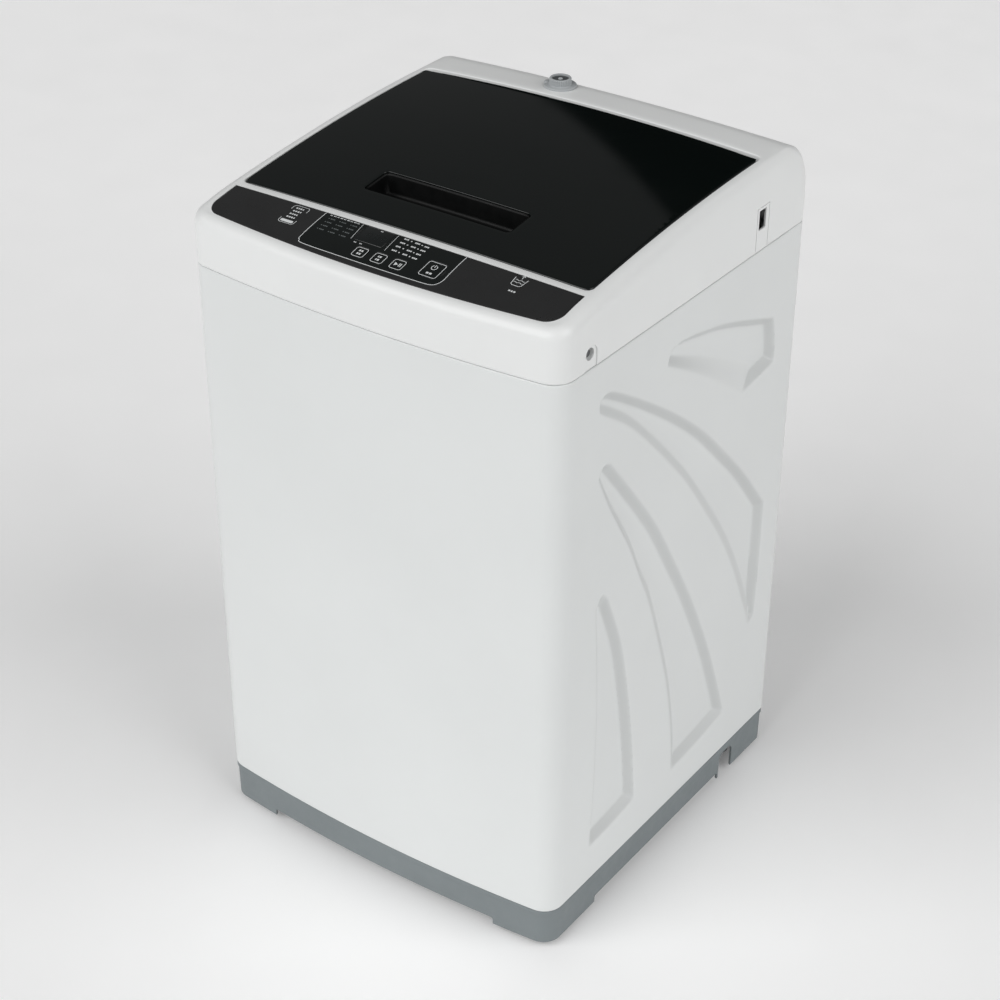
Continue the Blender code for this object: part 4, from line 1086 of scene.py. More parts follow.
def top_moulding():
    """Sides, rear deck, lid recess, mouth and neck in one moulding."""
    side_ys = spaced(-0.205, 0.240, 74)
    outline = plan_outline(44, side_ys, 34, 14, 8)
    angles = [math.atan2(y, x) for x, y, _, _ in outline]
    rows = []
    for inset, rise in ((0.009, 0.0), (0.0014, 0.0), (0.0006, 0.0003), (0.0001, 0.0011), (0.0, 0.0025)):
        rows.append([(x - nx * inset, y - ny * inset, SEAM + GAP + rise) for x, y, nx, ny in outline])
    shoulder_rows = [[shoulder_point(p, turn) for p in outline] for turn in spaced(0, math.pi / 2, 12)]
    rows.append([(x, y, (SEAM + z) / 2) for x, y, z in shoulder_rows[0]])
    rows += shoulder_rows
    shoulder = [(x, y) for x, y, _ in rows[-1]]
    lip, corner = 0.0013, 0.0072

    def recess_loop(grow, radius):
        half, low, high = RECESS_HALF_W + grow, RECESS_FRONT_Y - grow, DECK_FRONT_Y + grow
        return [ray_to_rounded(a, half, low, high, radius) for a in angles]

    edge = recess_loop(lip, corner + lip)
    for part in (0.2, 0.4, 0.6, 0.8, 1.0):
        row = [(sx + (ex - sx) * part, sy + (ey - sy) * part) for (sx, sy), (ex, ey) in zip(shoulder, edge)]
        rows.append(raised(row, roof))
    recess = recess_loop(0.0, corner)
    for angle in (30, 60, 90):
        s, c = math.sin(math.radians(angle)), math.cos(math.radians(angle))
        row = []
        for (ex, ey), (rx, ry) in zip(edge, recess):
            row.append((ex + (rx - ex) * s, ey + (ry - ey) * s, top_height(ex, ey) - lip * (1 - c)))
        rows.append(row)
    foot_round = 0.002
    for part, above in ((0.0, foot_round), (0.3, 0.3 * foot_round), (1.0, 0.0)):
        loop = recess_loop(-part * foot_round, corner - part * foot_round)
        rows.append([(x, y, lid_line(y) - (SHELF_DEPTH - above)) for x, y in loop])
    inner = [(x, y) for x, y, _ in rows[-1]]
    mouth = [ray_to_mouth(a, 0.004) for a in angles]
    for part in (0.25, 0.5, 0.75, 1.0):
        row = [(ix + (mx - ix) * part, iy + (my - iy) * part) for (ix, iy), (mx, my) in zip(inner, mouth)]
        rows.append([(x, y, lid_line(y) - SHELF_DEPTH) for x, y in row])
    for angle in (25, 50, 75):
        s, c = math.sin(math.radians(angle)), math.cos(math.radians(angle))
        loop = [ray_to_mouth(a, 0.004 * (1 - s)) for a in angles]
        rows.append([(x, y, lid_line(y) - SHELF_DEPTH - 0.004 * (1 - c)) for x, y in loop])
    throat = rows[-1]
    neck = [(NECK_RADIUS * math.cos(a), NECK_RADIUS * math.sin(a)) for a in angles]
    for part in spaced(0, 1, 8)[1:]:
        turn = ease(part)
        row = []
        for (x, y, z), (nx, ny) in zip(throat, neck):
            row.append((x + (nx - x) * turn, y + (ny - y) * turn, z + (NECK_BOTTOM - z) * part))
        rows.append(row)
    wall = SKIN - 0.0003
    moulding = grid_piece("top_moulding", rows, WHITE, "cabinet", ["top_frame"], around=True, wall=wall)
    cut_with(moulding, top_cutters)
    cut_with(moulding, bore_cutters)


def fascia_front_y(x, inset, half_w):
    """Front edge of the panel, bowed like the cabinet, with rounded corners."""
    bowed = front_y(x) + inset
    corner_x = half_w - FASCIA_CORNER
    if abs(x) <= corner_x:
        return bowed
    run = min(1.0, (abs(x) - corner_x) / FASCIA_CORNER)
    return bowed + FASCIA_CORNER * (1 - math.sqrt(1 - run * run))


def fascia_loop(grow):
    """The panel's outline, anticlockwise, moved outwards by grow."""
    half_w = FASCIA_HALF_W + grow
    corner_x = half_w - FASCIA_CORNER
    arc = [corner_x + FASCIA_CORNER * math.sin(math.radians(a)) for a in spaced(0, 90, 12)]
    right = spaced(0, corner_x, 30)[1:-1] + arc
    xs = [-x for x in reversed(right)] + [0.0] + right
    back_y = FASCIA_BACK_Y + grow
    loop = [(x, fascia_front_y(x, FASCIA_INSET - grow, half_w)) for x in xs]
    loop += split_long([(half_w, back_y), (-half_w, back_y)], 0.008, closed=False)
    return loop


def top_cutters(bm):
    add_prism(bm, fascia_loop(GAP), 0.79, 0.87)
    deck = top_height(INLET_X, INLET_Y)
    add_cylinder(bm, (INLET_X, INLET_Y, deck), 0.0155, 0.03, steps=48)
    add_box(bm, (-0.1502, HALF_D - 0.01, 0.7718), (0.1502, HALF_D + 0.01, 0.8122))
    add_box(bm, (-0.0455, 0.140, 0.7895), (0.0455, 0.170, 0.8065))
    add_prism_x(bm, rounded_rectangle((0.145, 0.791), (0.160, 0.815), 0.0012), HALF_W - 0.01, HALF_W + 0.01)
    slot_frame = [
        (0.1405, 0.70), (0.1415, 0.70), (0.1415, 0.8180), (0.1665, 0.8180), (0.1665, 0.70), (0.1675, 0.70),
        (0.1675, 0.8190), (0.1405, 0.8190),
    ]
    add_prism_x(bm, slot_frame, HALF_W - 0.0012, HALF_W + 0.01)
    for _, sx in SIDES:
        add_prism_x(bm, screw_niche(), *sorted((sx * (HALF_W - 0.0016), sx * (HALF_W + 0.01))))


def bore_cutters(bm):
    for _, sx in SIDES:
        add_cylinder(bm, (sx * HALF_W, SCREW_Y, SCREW_Z), 0.0072, 0.016, 40, QUARTER_TURN)


def screw_niche():
    """The arch-topped recess round a side screw, as (y, z)."""
    half, middle, top = 0.0115, -0.1905, 0.7800
    return [(middle - half, 0.70), (middle + half, 0.70)] + circle(middle, top, half, 16, 0, 180)


def screw_wells():
    """The wells that the side screws sit in."""
    profile = [
        (0.0022, 0.2395), (0.0074, 0.2395), (0.0080, 0.2400), (0.0080, 0.2485), (0.0071, 0.2487),
        (0.0070, 0.2435),
        (0.0066, 0.2431), (0.0022, 0.2431),
    ]
    for side, sx in SIDES:
        bm = bmesh.new()
        add_turned(bm, profile, steps=40)
        turn = Matrix.Rotation(sx * math.pi / 2, 4, "Y")
        bmesh.ops.transform(bm, matrix=Matrix.Translation((0, SCREW_Y, SCREW_Z)) @ turn, verts=bm.verts)
        new_piece(f"screw_well_{side}", bm, WHITE, "cabinet")


def side_screws():
    """Pan heads with a cross recess."""
    head = [
        (0, 0.0030), (0.0022, 0.0029), (0.0042, 0.0024), (0.0053, 0.0012), (0.0055, 0.0004), (0.0055, 0.0),
        (0.0021, 0.0), (0.0021, -0.0100), (0, -0.0125),
    ]

    def cross(cutters):
        add_box(cutters, (-0.0026, -0.0005, 0.0012), (0.0026, 0.0005, 0.004))
        add_box(cutters, (-0.0005, -0.0026, 0.0013), (0.0005, 0.0026, 0.0041))

    for side, sx in SIDES:
        node = f"side_screw_{side}"
        # The head takes the darkened zinc, painted shade of the well it sits in
        piece = turned_piece(f"cross_screw_{side}", head, SHADED_ZINC, "cabinet", [node], steps=40)
        cut_with(piece, cross)
        turn = Matrix.Rotation(sx * math.pi / 2, 4, "Y")
        piece.data.transform(Matrix.Translation((sx * 0.24335, SCREW_Y, SCREW_Z)) @ turn)


# ---------------------------------------------------------------- lid


def lid_roll(x):
    middle, end = LID_ROLL
    return middle + (end - middle) * (x / LID_HALF_W) ** 2


def lid_top(x, y):
    """The lid's outer surface, rolled down about the hinge line at the back."""
    top = top_height(x, y)
    if y <= HINGE_Y:
        return top
    radius = lid_roll(x)
    roll = HINGE_Z + math.sqrt(max(0.0, radius * radius - (y - HINGE_Y) ** 2))
    blend = 0.0012
    gap = (top - roll) / blend
    if abs(gap) > 1:
        return min(top, roll)
    return min(top, roll) - blend * (1 - abs(gap)) ** 2 / 4


def lid_bend(x, y):
    """Moves a point behind the hinge line back or forth, so that rows of points follow the roll."""
    if y <= HINGE_Y:
        return (x, y)
    return (x, HINGE_Y + (y - HINGE_Y) / LID_ROLL[1] * lid_roll(x))


def lid_outline(shrink=0.0):
    """The lid in plan with round corners; its rear edge follows the roll."""
    low, high = (-LID_HALF_W, LID_FRONT_Y), (LID_HALF_W, HINGE_Y + LID_ROLL[1])
    bent = [lid_bend(x, y) for x, y in rounded_rectangle(low, high, 0.008, 8, 0.004)]
    return offset_loop(bent, shrink) if shrink else bent


def rear_share(y):
    """1 on the lid's rear edge, where the roll replaces the skirt."""
    return ease((y - HINGE_Y + 0.001) / 0.006)


def rim_rows(outline_at, height, radius, depth, steps=5):
    """Loops from the flat of a lid over its rounded edge and down its skirt."""
    rows = []
    for angle in spaced(0, math.pi / 2, steps):
        inset, drop = radius * (1 - math.sin(angle)), radius * (1 - math.cos(angle))
        rows.append([(x, y, height(x, y) - drop * (1 - rear_share(y))) for x, y in outline_at(inset)])
    row = []
    for x, y in outline_at(0.0):
        rear = rear_share(y)
        row.append((x, y, (height(x, y) - depth) * (1 - rear) + (HINGE_Z - 0.0045) * rear))
    return rows + [row]


def handle_loop(grow):
    """The finger pocket's outline in plan, moved outwards by grow."""
    return inset_rectangle(*POCKET_BOX, -grow, POCKET_CORNER + max(0.0, grow), 6, 0.007)


def lid_cover():
    """The gloss black skin with its rounded rim and the pocket's opening."""
    outer = rim_rows(lid_outline, lid_top, 0.0020, LID_SKIRT)
    hole = []
    for angle in spaced(0, math.pi / 2, 4):
        grow = 0.0007 * (1 - math.sin(angle)) + 0.0004
        drop = 0.0007 * (1 - math.cos(angle))
        hole.append(raised(handle_loop(grow), lid_top, drop))
    hole.append(raised(handle_loop(0.0004), lid_top, 0.0035))
    xs = spaced(-0.228, 0.228, 110)
    ys = spaced(-0.164, HINGE_Y - 0.002, 50)
    ys += [HINGE_Y + LID_ROLL[1] * math.sin(a) for a in spaced(0, 0.9, 9)]
    bm = bmesh.new()
    filled_surface(bm, outer, [hole], lid_top, xs, ys, lid_bend)
    thicken(new_piece("lid_cover", bm, BLACK, "lid", ["lid_panel"], 40), 0.0022)


def lid_pocket():
    """The finger pocket, closed below: straight walls that narrow a little, rounded into its floor."""
    walls = ((0.0002, 0.0012), (-0.0002, 0.004), (-0.0012, 0.012), (-0.0022, 0.0215))
    loops = [(handle_loop(grow), drop) for grow, drop in walls]
    floor = ((0.0032, 0.0242), (0.0052, 0.0256), (0.0085, 0.0262), (0.014, 0.0264), (0.018, 0.0265))
    for inset, drop in floor:
        corner = max(0.0012, POCKET_CORNER - inset * 0.2)
        loops.append((inset_rectangle(*POCKET_BOX, inset, corner, 6, 0.007), drop))
    rows = [raised(resample(loop, 96), top_height, drop)[::-1] for loop, drop in loops]
    grid_piece("lid_pocket", rows, POCKET, "lid", ["lid_handle_cup"], around=True, cap=True, wall=0.0015)


def resample(loop, count):
    """The closed loop with this many points, evenly spread."""
    ends = loop + loop[:1]
    lengths = [0.0]
    for a, b in zip(ends, ends[1:]):
        lengths.append(lengths[-1] + math.dist(a, b))
    found = []
    k = 0
    for i in range(count):
        goal = lengths[-1] * i / count
        while lengths[k + 1] < goal:
            k += 1
        t = (goal - lengths[k]) / max(1e-12, lengths[k + 1] - lengths[k])
        found.append(tuple(p + (q - p) * t for p, q in zip(ends[k], ends[k + 1])))
    return found


# ---------------------------------------------------------------- small helpers for the inner parts


def lathe(name, points, material, body, replaced=(), centre=(0.0, 0.0), radius=0.001, steps=64, wave=None):
    """A turned piece with its corners rounded."""
    profile = rounded_profile(points, radius)
    return turned_piece(name, profile, material, body, replaced, centre, steps, wave=wave)


def facing(centre, toward):
    """A placement that turns +Z to this direction."""
    return Matrix.Translation(centre) @ Vector(toward).to_track_quat("Z", "Y").to_matrix().to_4x4()


def add_turned_at(bm, points, matrix, radius=0.0004, steps=32):
    """Adds a turned part whose axis is placed by the matrix."""
    part = bmesh.new()
    add_turned(part, rounded_profile(points, radius), steps=steps)
    bmesh.ops.recalc_face_normals(part, faces=list(part.faces))
    bmesh.ops.transform(part, matrix=matrix, verts=part.verts)
    mesh = bpy.data.meshes.new("part")
    part.to_mesh(mesh)
    part.free()
    bm.from_mesh(mesh)
    bpy.data.meshes.remove(mesh)


def soften(obj, width):
    """Rounds the hard edges of a piece."""
    rounding = obj.modifiers.new("rounding", "BEVEL")
    rounding.width = width
    rounding.segments = 2
    rounding.limit_method = "ANGLE"
    rounding.angle_limit = math.radians(40)
    return obj


def block(name, boxes, material, body, replaced=(), bevel=0.001, add=None, cut=None, slot=None):
    """A piece of boxes and whatever add(bmesh) makes, less what cut(bmesh) makes, with softened edges."""
    bm = bmesh.new()
    for low, high in boxes:
        add_box(bm, low, high)
    if add:
        add(bm)
    obj = new_piece(name, bm, material, body, replaced, slot=slot)
    if cut:
        cut_with(obj, cut)
    return soften(obj, bevel)


def pan_head(radius=0.0042, height=0.0010):
    return [(0, height), (radius * 0.7, height * 0.92), (radius, height * 0.35), (radius, 0), (0, 0)]


def add_screws(bm, places, toward, radius=0.0042, height=0.0010):
    for place in places:
        add_turned_at(bm, pan_head(radius, height), facing(place, toward), 0.0003, 24)


def around_z(count, radius, z, start=0.0):
    """Points on a ring about the machine's axis."""
    turns = [start + 2 * math.pi * i / count for i in range(count)]
    return [(radius * math.cos(a), radius * math.sin(a), z) for a in turns]


def add_fins(bm, count, phase, near, far, half_thick, centre=(0.0, 0.0)):
    """A ring of radial fins; phase says where the first one stands, in steps of the ring."""
    for i in range(count):
        add_fin(bm, 2 * math.pi * (i + phase) / count, near, far, half_thick, centre)


def add_fin(bm, angle, near, far, half_thick, centre=(0.0, 0.0)):
    """A radial fin between two (radius, low z, high z) ends."""
    c, s = math.cos(angle), math.sin(angle)
    v = []
    for side in (-half_thick, half_thick):
        for radius, low, high in (near, far):
            x, y = centre[0] + radius * c - side * s, centre[1] + radius * s + side * c
            v += [bm.verts.new((x, y, low)), bm.verts.new((x, y, high))]
    for quad in ((0, 2, 3, 1), (5, 7, 6, 4), (0, 1, 5, 4), (3, 2, 6, 7), (1, 3, 7, 5), (2, 0, 4, 6)):
        bm.faces.new([v[i] for i in quad])


def circle(x, y, radius, steps=16, start=0.0, end=360.0):
    """Points of an arc, both ends included."""
    turns = [math.radians(a) for a in spaced(start, end, steps)]
    return [(x + radius * math.cos(a), y + radius * math.sin(a)) for a in turns]


def hexagon(x, y, radius):
    return circle(x, y, radius, 6)[:-1]


# ---------------------------------------------------------------- control panel

ZONE_LIFT = 0.00004  # each print lies a little above what it is printed on
SEGMENT_LIFT = 0.00003
PRINT_LIFT = 0.00010
PANEL_BUTTONS = ("program_button", "water_level_button", "start_button", "power_button")


def panel_holes():
    """Plan loops of the openings in the panel: four buttons and the display."""
    loops = [inset_rectangle(*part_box(node), -0.0004, 0.0034) for node in PANEL_BUTTONS]
    return loops + [inset_rectangle(*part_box("display_lens"), -0.0003, 0.0020)]


def control_panel():
    """The charcoal panel with a small round at every edge."""
    rows = []
    for inset, drop in ((0.0006, 0.0), (0.0002, 0.00015), (0.0, 0.0006), (0.0, 0.0026)):
        rows.append(raised(offset_loop(fascia_loop(0.0), inset), top_height, drop))
    holes = []
    for loop in panel_holes():
        ring = []
        for grow, drop in ((0.0003, 0.0), (0.0001, 0.0001), (0.0, 0.0004), (0.0, 0.0022)):
            ring.append(raised(offset_loop(loop, -grow), top_height, drop))
        holes.append(ring)
    bm = bmesh.new()
    filled_surface(bm, rows, holes, top_height, spaced(-0.228, 0.228, 90), spaced(-0.240, -0.181, 12))
    thicken(new_piece("control_panel", bm, CHARCOAL, "cabinet", ["control_fascia"], 40), 0.0012)


def zone_line():
    """The line round the control group, from its back left corner to its back right corner."""
    back = FASCIA_BACK_Y - 0.0012
    corners = [(-0.1018, back), (-0.1006, -0.2236), (-0.0982, -0.2304), (-0.0900, -0.2342), (-0.036, -0.2352)]
    corners += [(0.018, -0.2354), (0.052, -0.2350), (0.0770, -0.2340), (0.0846, -0.2300), (0.0876, -0.2225)]
    corners += [(0.0872, -0.208), (0.0862, back)]
    return [tuple(p) for p in catmull(corners, 6)]


def control_zone():
    """The glossier, darker print behind the controls."""
    line = zone_line()
    back = split_long([line[-1], line[0]], 0.006, closed=False)[1:-1]
    loop = offset_loop(line + back, 0.0003)
    bm = bmesh.new()

    def height(x, y):
        return top_height(x, y) + ZONE_LIFT

    holes = [[raised(offset_loop(hole, -0.0004), height)] for hole in panel_holes()]
    xs, ys = spaced(-0.098, 0.084, 40), spaced(-0.232, -0.182, 12)
    filled_surface(bm, [raised(loop, height)], holes, height, xs, ys)
    new_piece("control_zone", bm, ZONE, "cabinet", recalc=False)


def add_ribbon(bm, points, width, closed=False, lift=PRINT_LIFT):
    """A printed stripe along plan points."""
    points = [Vector(p) for p in points]
    count = len(points)
    rows = []
    for i, point in enumerate(points):
        before = points[i - 1] if i or closed else point
        after = points[(i + 1) % count] if i < count - 1 or closed else point
        along = (after - before).normalized()
        side = Vector((-along.y, along.x)) * width / 2
        rows.append(raised([point + side, point - side], top_height, -lift))
    if closed:
        rows.append(rows[0])
    add_grid(bm, rows)


def add_patch(bm, outline, lift=PRINT_LIFT):
    bm.faces.new([bm.verts.new(place) for place in raised(outline, top_height, -lift)])


def add_marks(bm, x, y, widths, size=0.0013, gap=0.0007):
    """A row of plain blocks where the panel is labelled."""
    for width in widths:
        low, high, end = y - size / 2, y + size / 2, x + width
        add_patch(bm, [(x, low), (end, low), (end, high), (x, high)])
        x += width + gap


def panel_print():
    """Outlines, dividers and rows of plain marks, with no lettering."""
    bm = bmesh.new()
    add_ribbon(bm, zone_line(), 0.0008)
    for start, end in (((-0.0504, -0.1800), (-0.0466, -0.2068)), ((-0.0025, -0.1800), (0.0001, -0.2085))):
        add_ribbon(bm, split_long([start, end], 0.004, closed=False), 0.0005)
    for i in range(9):
        add_marks(bm, -0.0945 + i * 0.0046, -0.1815, [0.0013 + 0.0006 * (i % 2), 0.0010], 0.0014, 0.0004)
    for row in range(4):
        y = -0.1822 - 0.0073 * row
        for column, x in enumerate((0.0065, 0.0215, 0.0345)):
            widths = [0.0018, 0.0012 + 0.0005 * ((row + column) % 2), 0.0018]
            add_marks(bm, x, y - 0.0009 * column, widths, 0.0021, 0.0005)
        add_patch(bm, circle(0.0165, y - 0.0006, 0.0009, 10)[:-1])
        add_patch(bm, circle(0.0310, y - 0.0014, 0.0009, 10)[:-1])
    for i, x in enumerate((-0.0400, -0.0325, -0.0250)):
        add_marks(bm, x, -0.2098 + 0.0276 * (i == 2), [0.0013, 0.0013], 0.0014, 0.0005)
    # The list of options at the left
    box = rounded_rectangle((-0.1430, -0.2140), (-0.1218, -0.1822), 0.0034, 6)
    add_ribbon(bm, box, 0.0006, closed=True)
    for row in range(4):
        widths = [0.0022, 0.0016 + 0.0006 * (row % 2), 0.0022, 0.0016]
        add_marks(bm, -0.1384, -0.1866 - 0.0056 * row, widths, 0.0022, 0.0010)
    add_patch(bm, rounded_rectangle((-0.1408, -0.2124), (-0.1240, -0.2084), 0.0016, 4))
    # The water level picture at the right
    tub = [(0.1520, -0.1840), (0.1534, -0.1956), (0.1556, -0.1972)]
    tub += [(0.1640, -0.1972), (0.1660, -0.1956), (0.1674, -0.1840)]
    add_ribbon(bm, tub, 0.0008)
    for y in (-0.1878, -0.1918):
        wave = [(0.1541 + 0.0112 * t, y + 0.0006 * math.sin(4 * math.pi * t)) for t in spaced(0, 1, 12)]
        add_ribbon(bm, wave, 0.0007)
    add_ribbon(bm, [(0.1597, -0.1850), (0.1597, -0.1790)], 0.0007)
    add_ribbon(bm, [(0.1576, -0.1812), (0.1597, -0.1789), (0.1618, -0.1812)], 0.0007)
    add_marks(bm, 0.1580, -0.2064, [0.0024, 0.0020, 0.0024], 0.0022, 0.0009)
    new_piece("panel_print", bm, INK, "cabinet", recalc=False)


def dim_print():
    """Unlit indicator dots and faint marks beside them."""
    bm = bmesh.new()
    for row in range(4):
        for column in range(3):
            x, y = -0.0920 + 0.0150 * column, -0.1872 - 0.0066 * row
            add_patch(bm, circle(x, y, 0.0008, 10)[:-1])
            add_marks(bm, x + 0.0022, y, [0.0018, 0.0014, 0.0018], 0.0016, 0.0005)
    for row in range(3):
        add_patch(bm, circle(-0.0030 + 0.0006 * row, -0.1900 - 0.006 * row, 0.0005, 8)[:-1])
    new_piece("dim_print", bm, DIM_INK, "cabinet", recalc=False)


def push_buttons():
    """Pads flush with the panel, each with a printed outline and a plain symbol."""
    for node in PANEL_BUTTONS:
        low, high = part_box(node)
        rows = []
        for inset, drop in ((0.0002, 0.0038), (0.0, 0.0034), (0.0, 0.0005), (0.0002, 0.0001), (0.0006, 0.0)):
            rows.append(raised(inset_rectangle(low, high, inset, 0.003 - inset, 6), top_height, drop))
        grid_piece(f"{node}_pad", rows, ZONE, node, [node], around=True, cap=True)
        bm = bmesh.new()
        add_ribbon(bm, inset_rectangle(low, high, 0.0011, 0.0026, 6), 0.0007, closed=True)
        x, y = (low.x + high.x) / 2, (low.y + high.y) / 2
        if node == "power_button":
            add_ribbon(bm, circle(x, y + 0.0035, 0.0034, 20, 120, 420), 0.0008)
            add_ribbon(bm, [(x, y + 0.0035), (x, y + 0.0078)], 0.0008)
            add_marks(bm, x - 0.0036, y - 0.0062, [0.0030, 0.0030], 0.0026, 0.0010)
        elif node == "start_button":
            add_patch(bm, [(x - 0.0042, y - 0.0026), (x + 0.0002, y), (x - 0.0042, y + 0.0026)])
            add_marks(bm, x + 0.0014, y, [0.0011, 0.0011], 0.0050, 0.0009)
        else:
            for row in range(2):
                widths = [0.0022, 0.0022] if node == "program_button" else [0.0014, 0.0024]
                add_marks(bm, x - 0.0026, y + 0.0024 - 0.0048 * row, widths, 0.0026, 0.0008)
        new_piece(f"{node}_print", bm, INK, node, recalc=False)


def display_window():
    """The smoked window with its unlit digits: three level bars and four upright ones in each."""
    low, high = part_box("display_lens")
    rows = []
    for inset, drop in ((0.0, 0.0020), (0.0, 0.0004), (0.0002, 0.0001), (0.0005, 0.0)):
        rows.append(raised(inset_rectangle(low, high, inset, 0.0017 - inset), top_height, drop))
    grid_piece("display_window", rows, GLASS, "cabinet", ["display_lens"], around=True, cap=True)
    bm = bmesh.new()
    y = -0.1930
    for x in (-0.0325, -0.0225, -0.0125):
        bars = [((x - 0.0018, y + dy), (x + 0.0018, y + dy)) for dy in (-0.0042, 0.0, 0.0042)]
        for dx in (-0.0024, 0.0024):
            bars += [((x + dx, y + dy - 0.0016), (x + dx, y + dy + 0.0016)) for dy in (-0.0021, 0.0021)]
        for bar in bars:
            add_ribbon(bm, bar, 0.0005, lift=SEGMENT_LIFT)
    new_piece("display_segments", bm, SEGMENT, "cabinet", recalc=False)


def control_electronics():
    """The tray under the panel, and the board with its parts."""
    low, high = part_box("control_tray")
    wall, top = 0.002, 0.8006

    def hollow(bm):
        add_box(bm, (low.x + wall, low.y + wall, low.z + wall), (high.x - wall, high.y - wall, high.z + 0.01))

    block("electronics_tray", [(low, high)], GREY, "cabinet", ["control_tray"], 0.0005, cut=hollow)
    board_low, board_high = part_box("control_board")
    board = [(board_low, (board_high.x, board_high.y, top))]
    block("circuit_board", board, PCB, "cabinet", ["control_board"], 0.0001)

    def chips(bm):
        for i in range(9):
            x, y = -0.040 + 0.012 * i, -0.2030 - 0.004 * (i % 3)
            add_box(bm, (x, y, top - 0.0002), (x + 0.006, y + 0.005, top + 0.0022))
        for i in range(5):
            can = [(0, 0), (0.003, 0), (0.003, 0.007), (0, 0.007)]
            add_turned_at(bm, can, facing((0.02 + 0.009 * i, -0.2190, top), (0, 0, 1)))

    boxes = [
        ((0.070, -0.2200, top - 0.0002), (0.100, -0.1950, 0.8090)),
        ((-0.085, -0.2150, top - 0.0002), (-0.060, -0.1950, 0.8050)),
    ]
    block("board_components", boxes, DARK_GREY, "cabinet", bevel=0.0003, add=chips, slot="black_rubber")


# ---------------------------------------------------------------- lid underside and hinge


def lid_lining():
    """The white inner moulding: a raised rim, a dished field and shallow ribs."""
    low, high = (-0.2262, LID_FRONT_Y + 0.0052), (0.2262, HINGE_Y - 0.0115)
    rib_xs = spaced(-0.165, 0.165, 6)

    def height(x, y):
        edge = min(x - low[0], high[0] - x, y - low[1], high[1] - y)
        field = ease((edge - 0.009) / 0.007)
        rib = max(ease(1.4 - abs(x - at) / 0.0045) for at in rib_xs)
        rib *= ease((edge - 0.024) / 0.010) * ease((y + 0.066) / 0.010)
        return top_height(x, y) - 0.0052 - 0.0028 * field + 0.0014 * rib

    outline = rounded_rectangle(low, high, 0.007, 6, 0.006)
    rows = [raised(outline, height), raised(outline, height, -0.0018)]
    loop = handle_loop(0.0030)
    hole = [raised(loop, height), raised(loop, height, -0.0012)]
    beside_ribs = [at + d for at in rib_xs for d in (-0.0055, -0.003, 0.003, 0.0055)]
    xs = sorted(spaced(-0.222, 0.222, 48) + beside_ribs)
    ys = spaced(low[1] + 0.004, high[1] - 0.004, 60)
    bm = bmesh.new()
    filled_surface(bm, rows, [hole], height, xs, ys)
    thicken(new_piece("lid_lining", bm, WHITE, "lid", ["lid_inner_panel"], 40), 0.0014, 0.0)


def hinge_pins():
    points = [
        (0, -0.0056), (0.0024, -0.0056), (0.0030, -0.0050), (0.0030, 0.0050), (0.0024, 0.0056), (0, 0.0056),
    ]
    for side, sx in SIDES:
        bm = bmesh.new()
        add_turned_at(bm, points, facing((sx * LID_HALF_W, HINGE_Y, HINGE_Z), (sx, 0, 0)), 0.0002)
        new_piece(f"hinge_pin_{side}", bm, ZINC, "lid", [f"lid_hinge_pin_{side}"])


def lid_bumpers():
    for side, _ in SIDES:
        low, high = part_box(f"lid_bumper_{side}")
        x, y = (low.x + high.x) / 2, (low.y + high.y) / 2
        points = [(0, high.z), (0.0034, high.z), (0.0044, low.z + 0.002), (0.0048, low.z), (0, low.z)]
        lathe(f"bumper_{side}", points, RUBBER, "cabinet", [f"lid_bumper_{side}"], (x, y), 0.0006, 32)


# ---------------------------------------------------------------- water and electrics


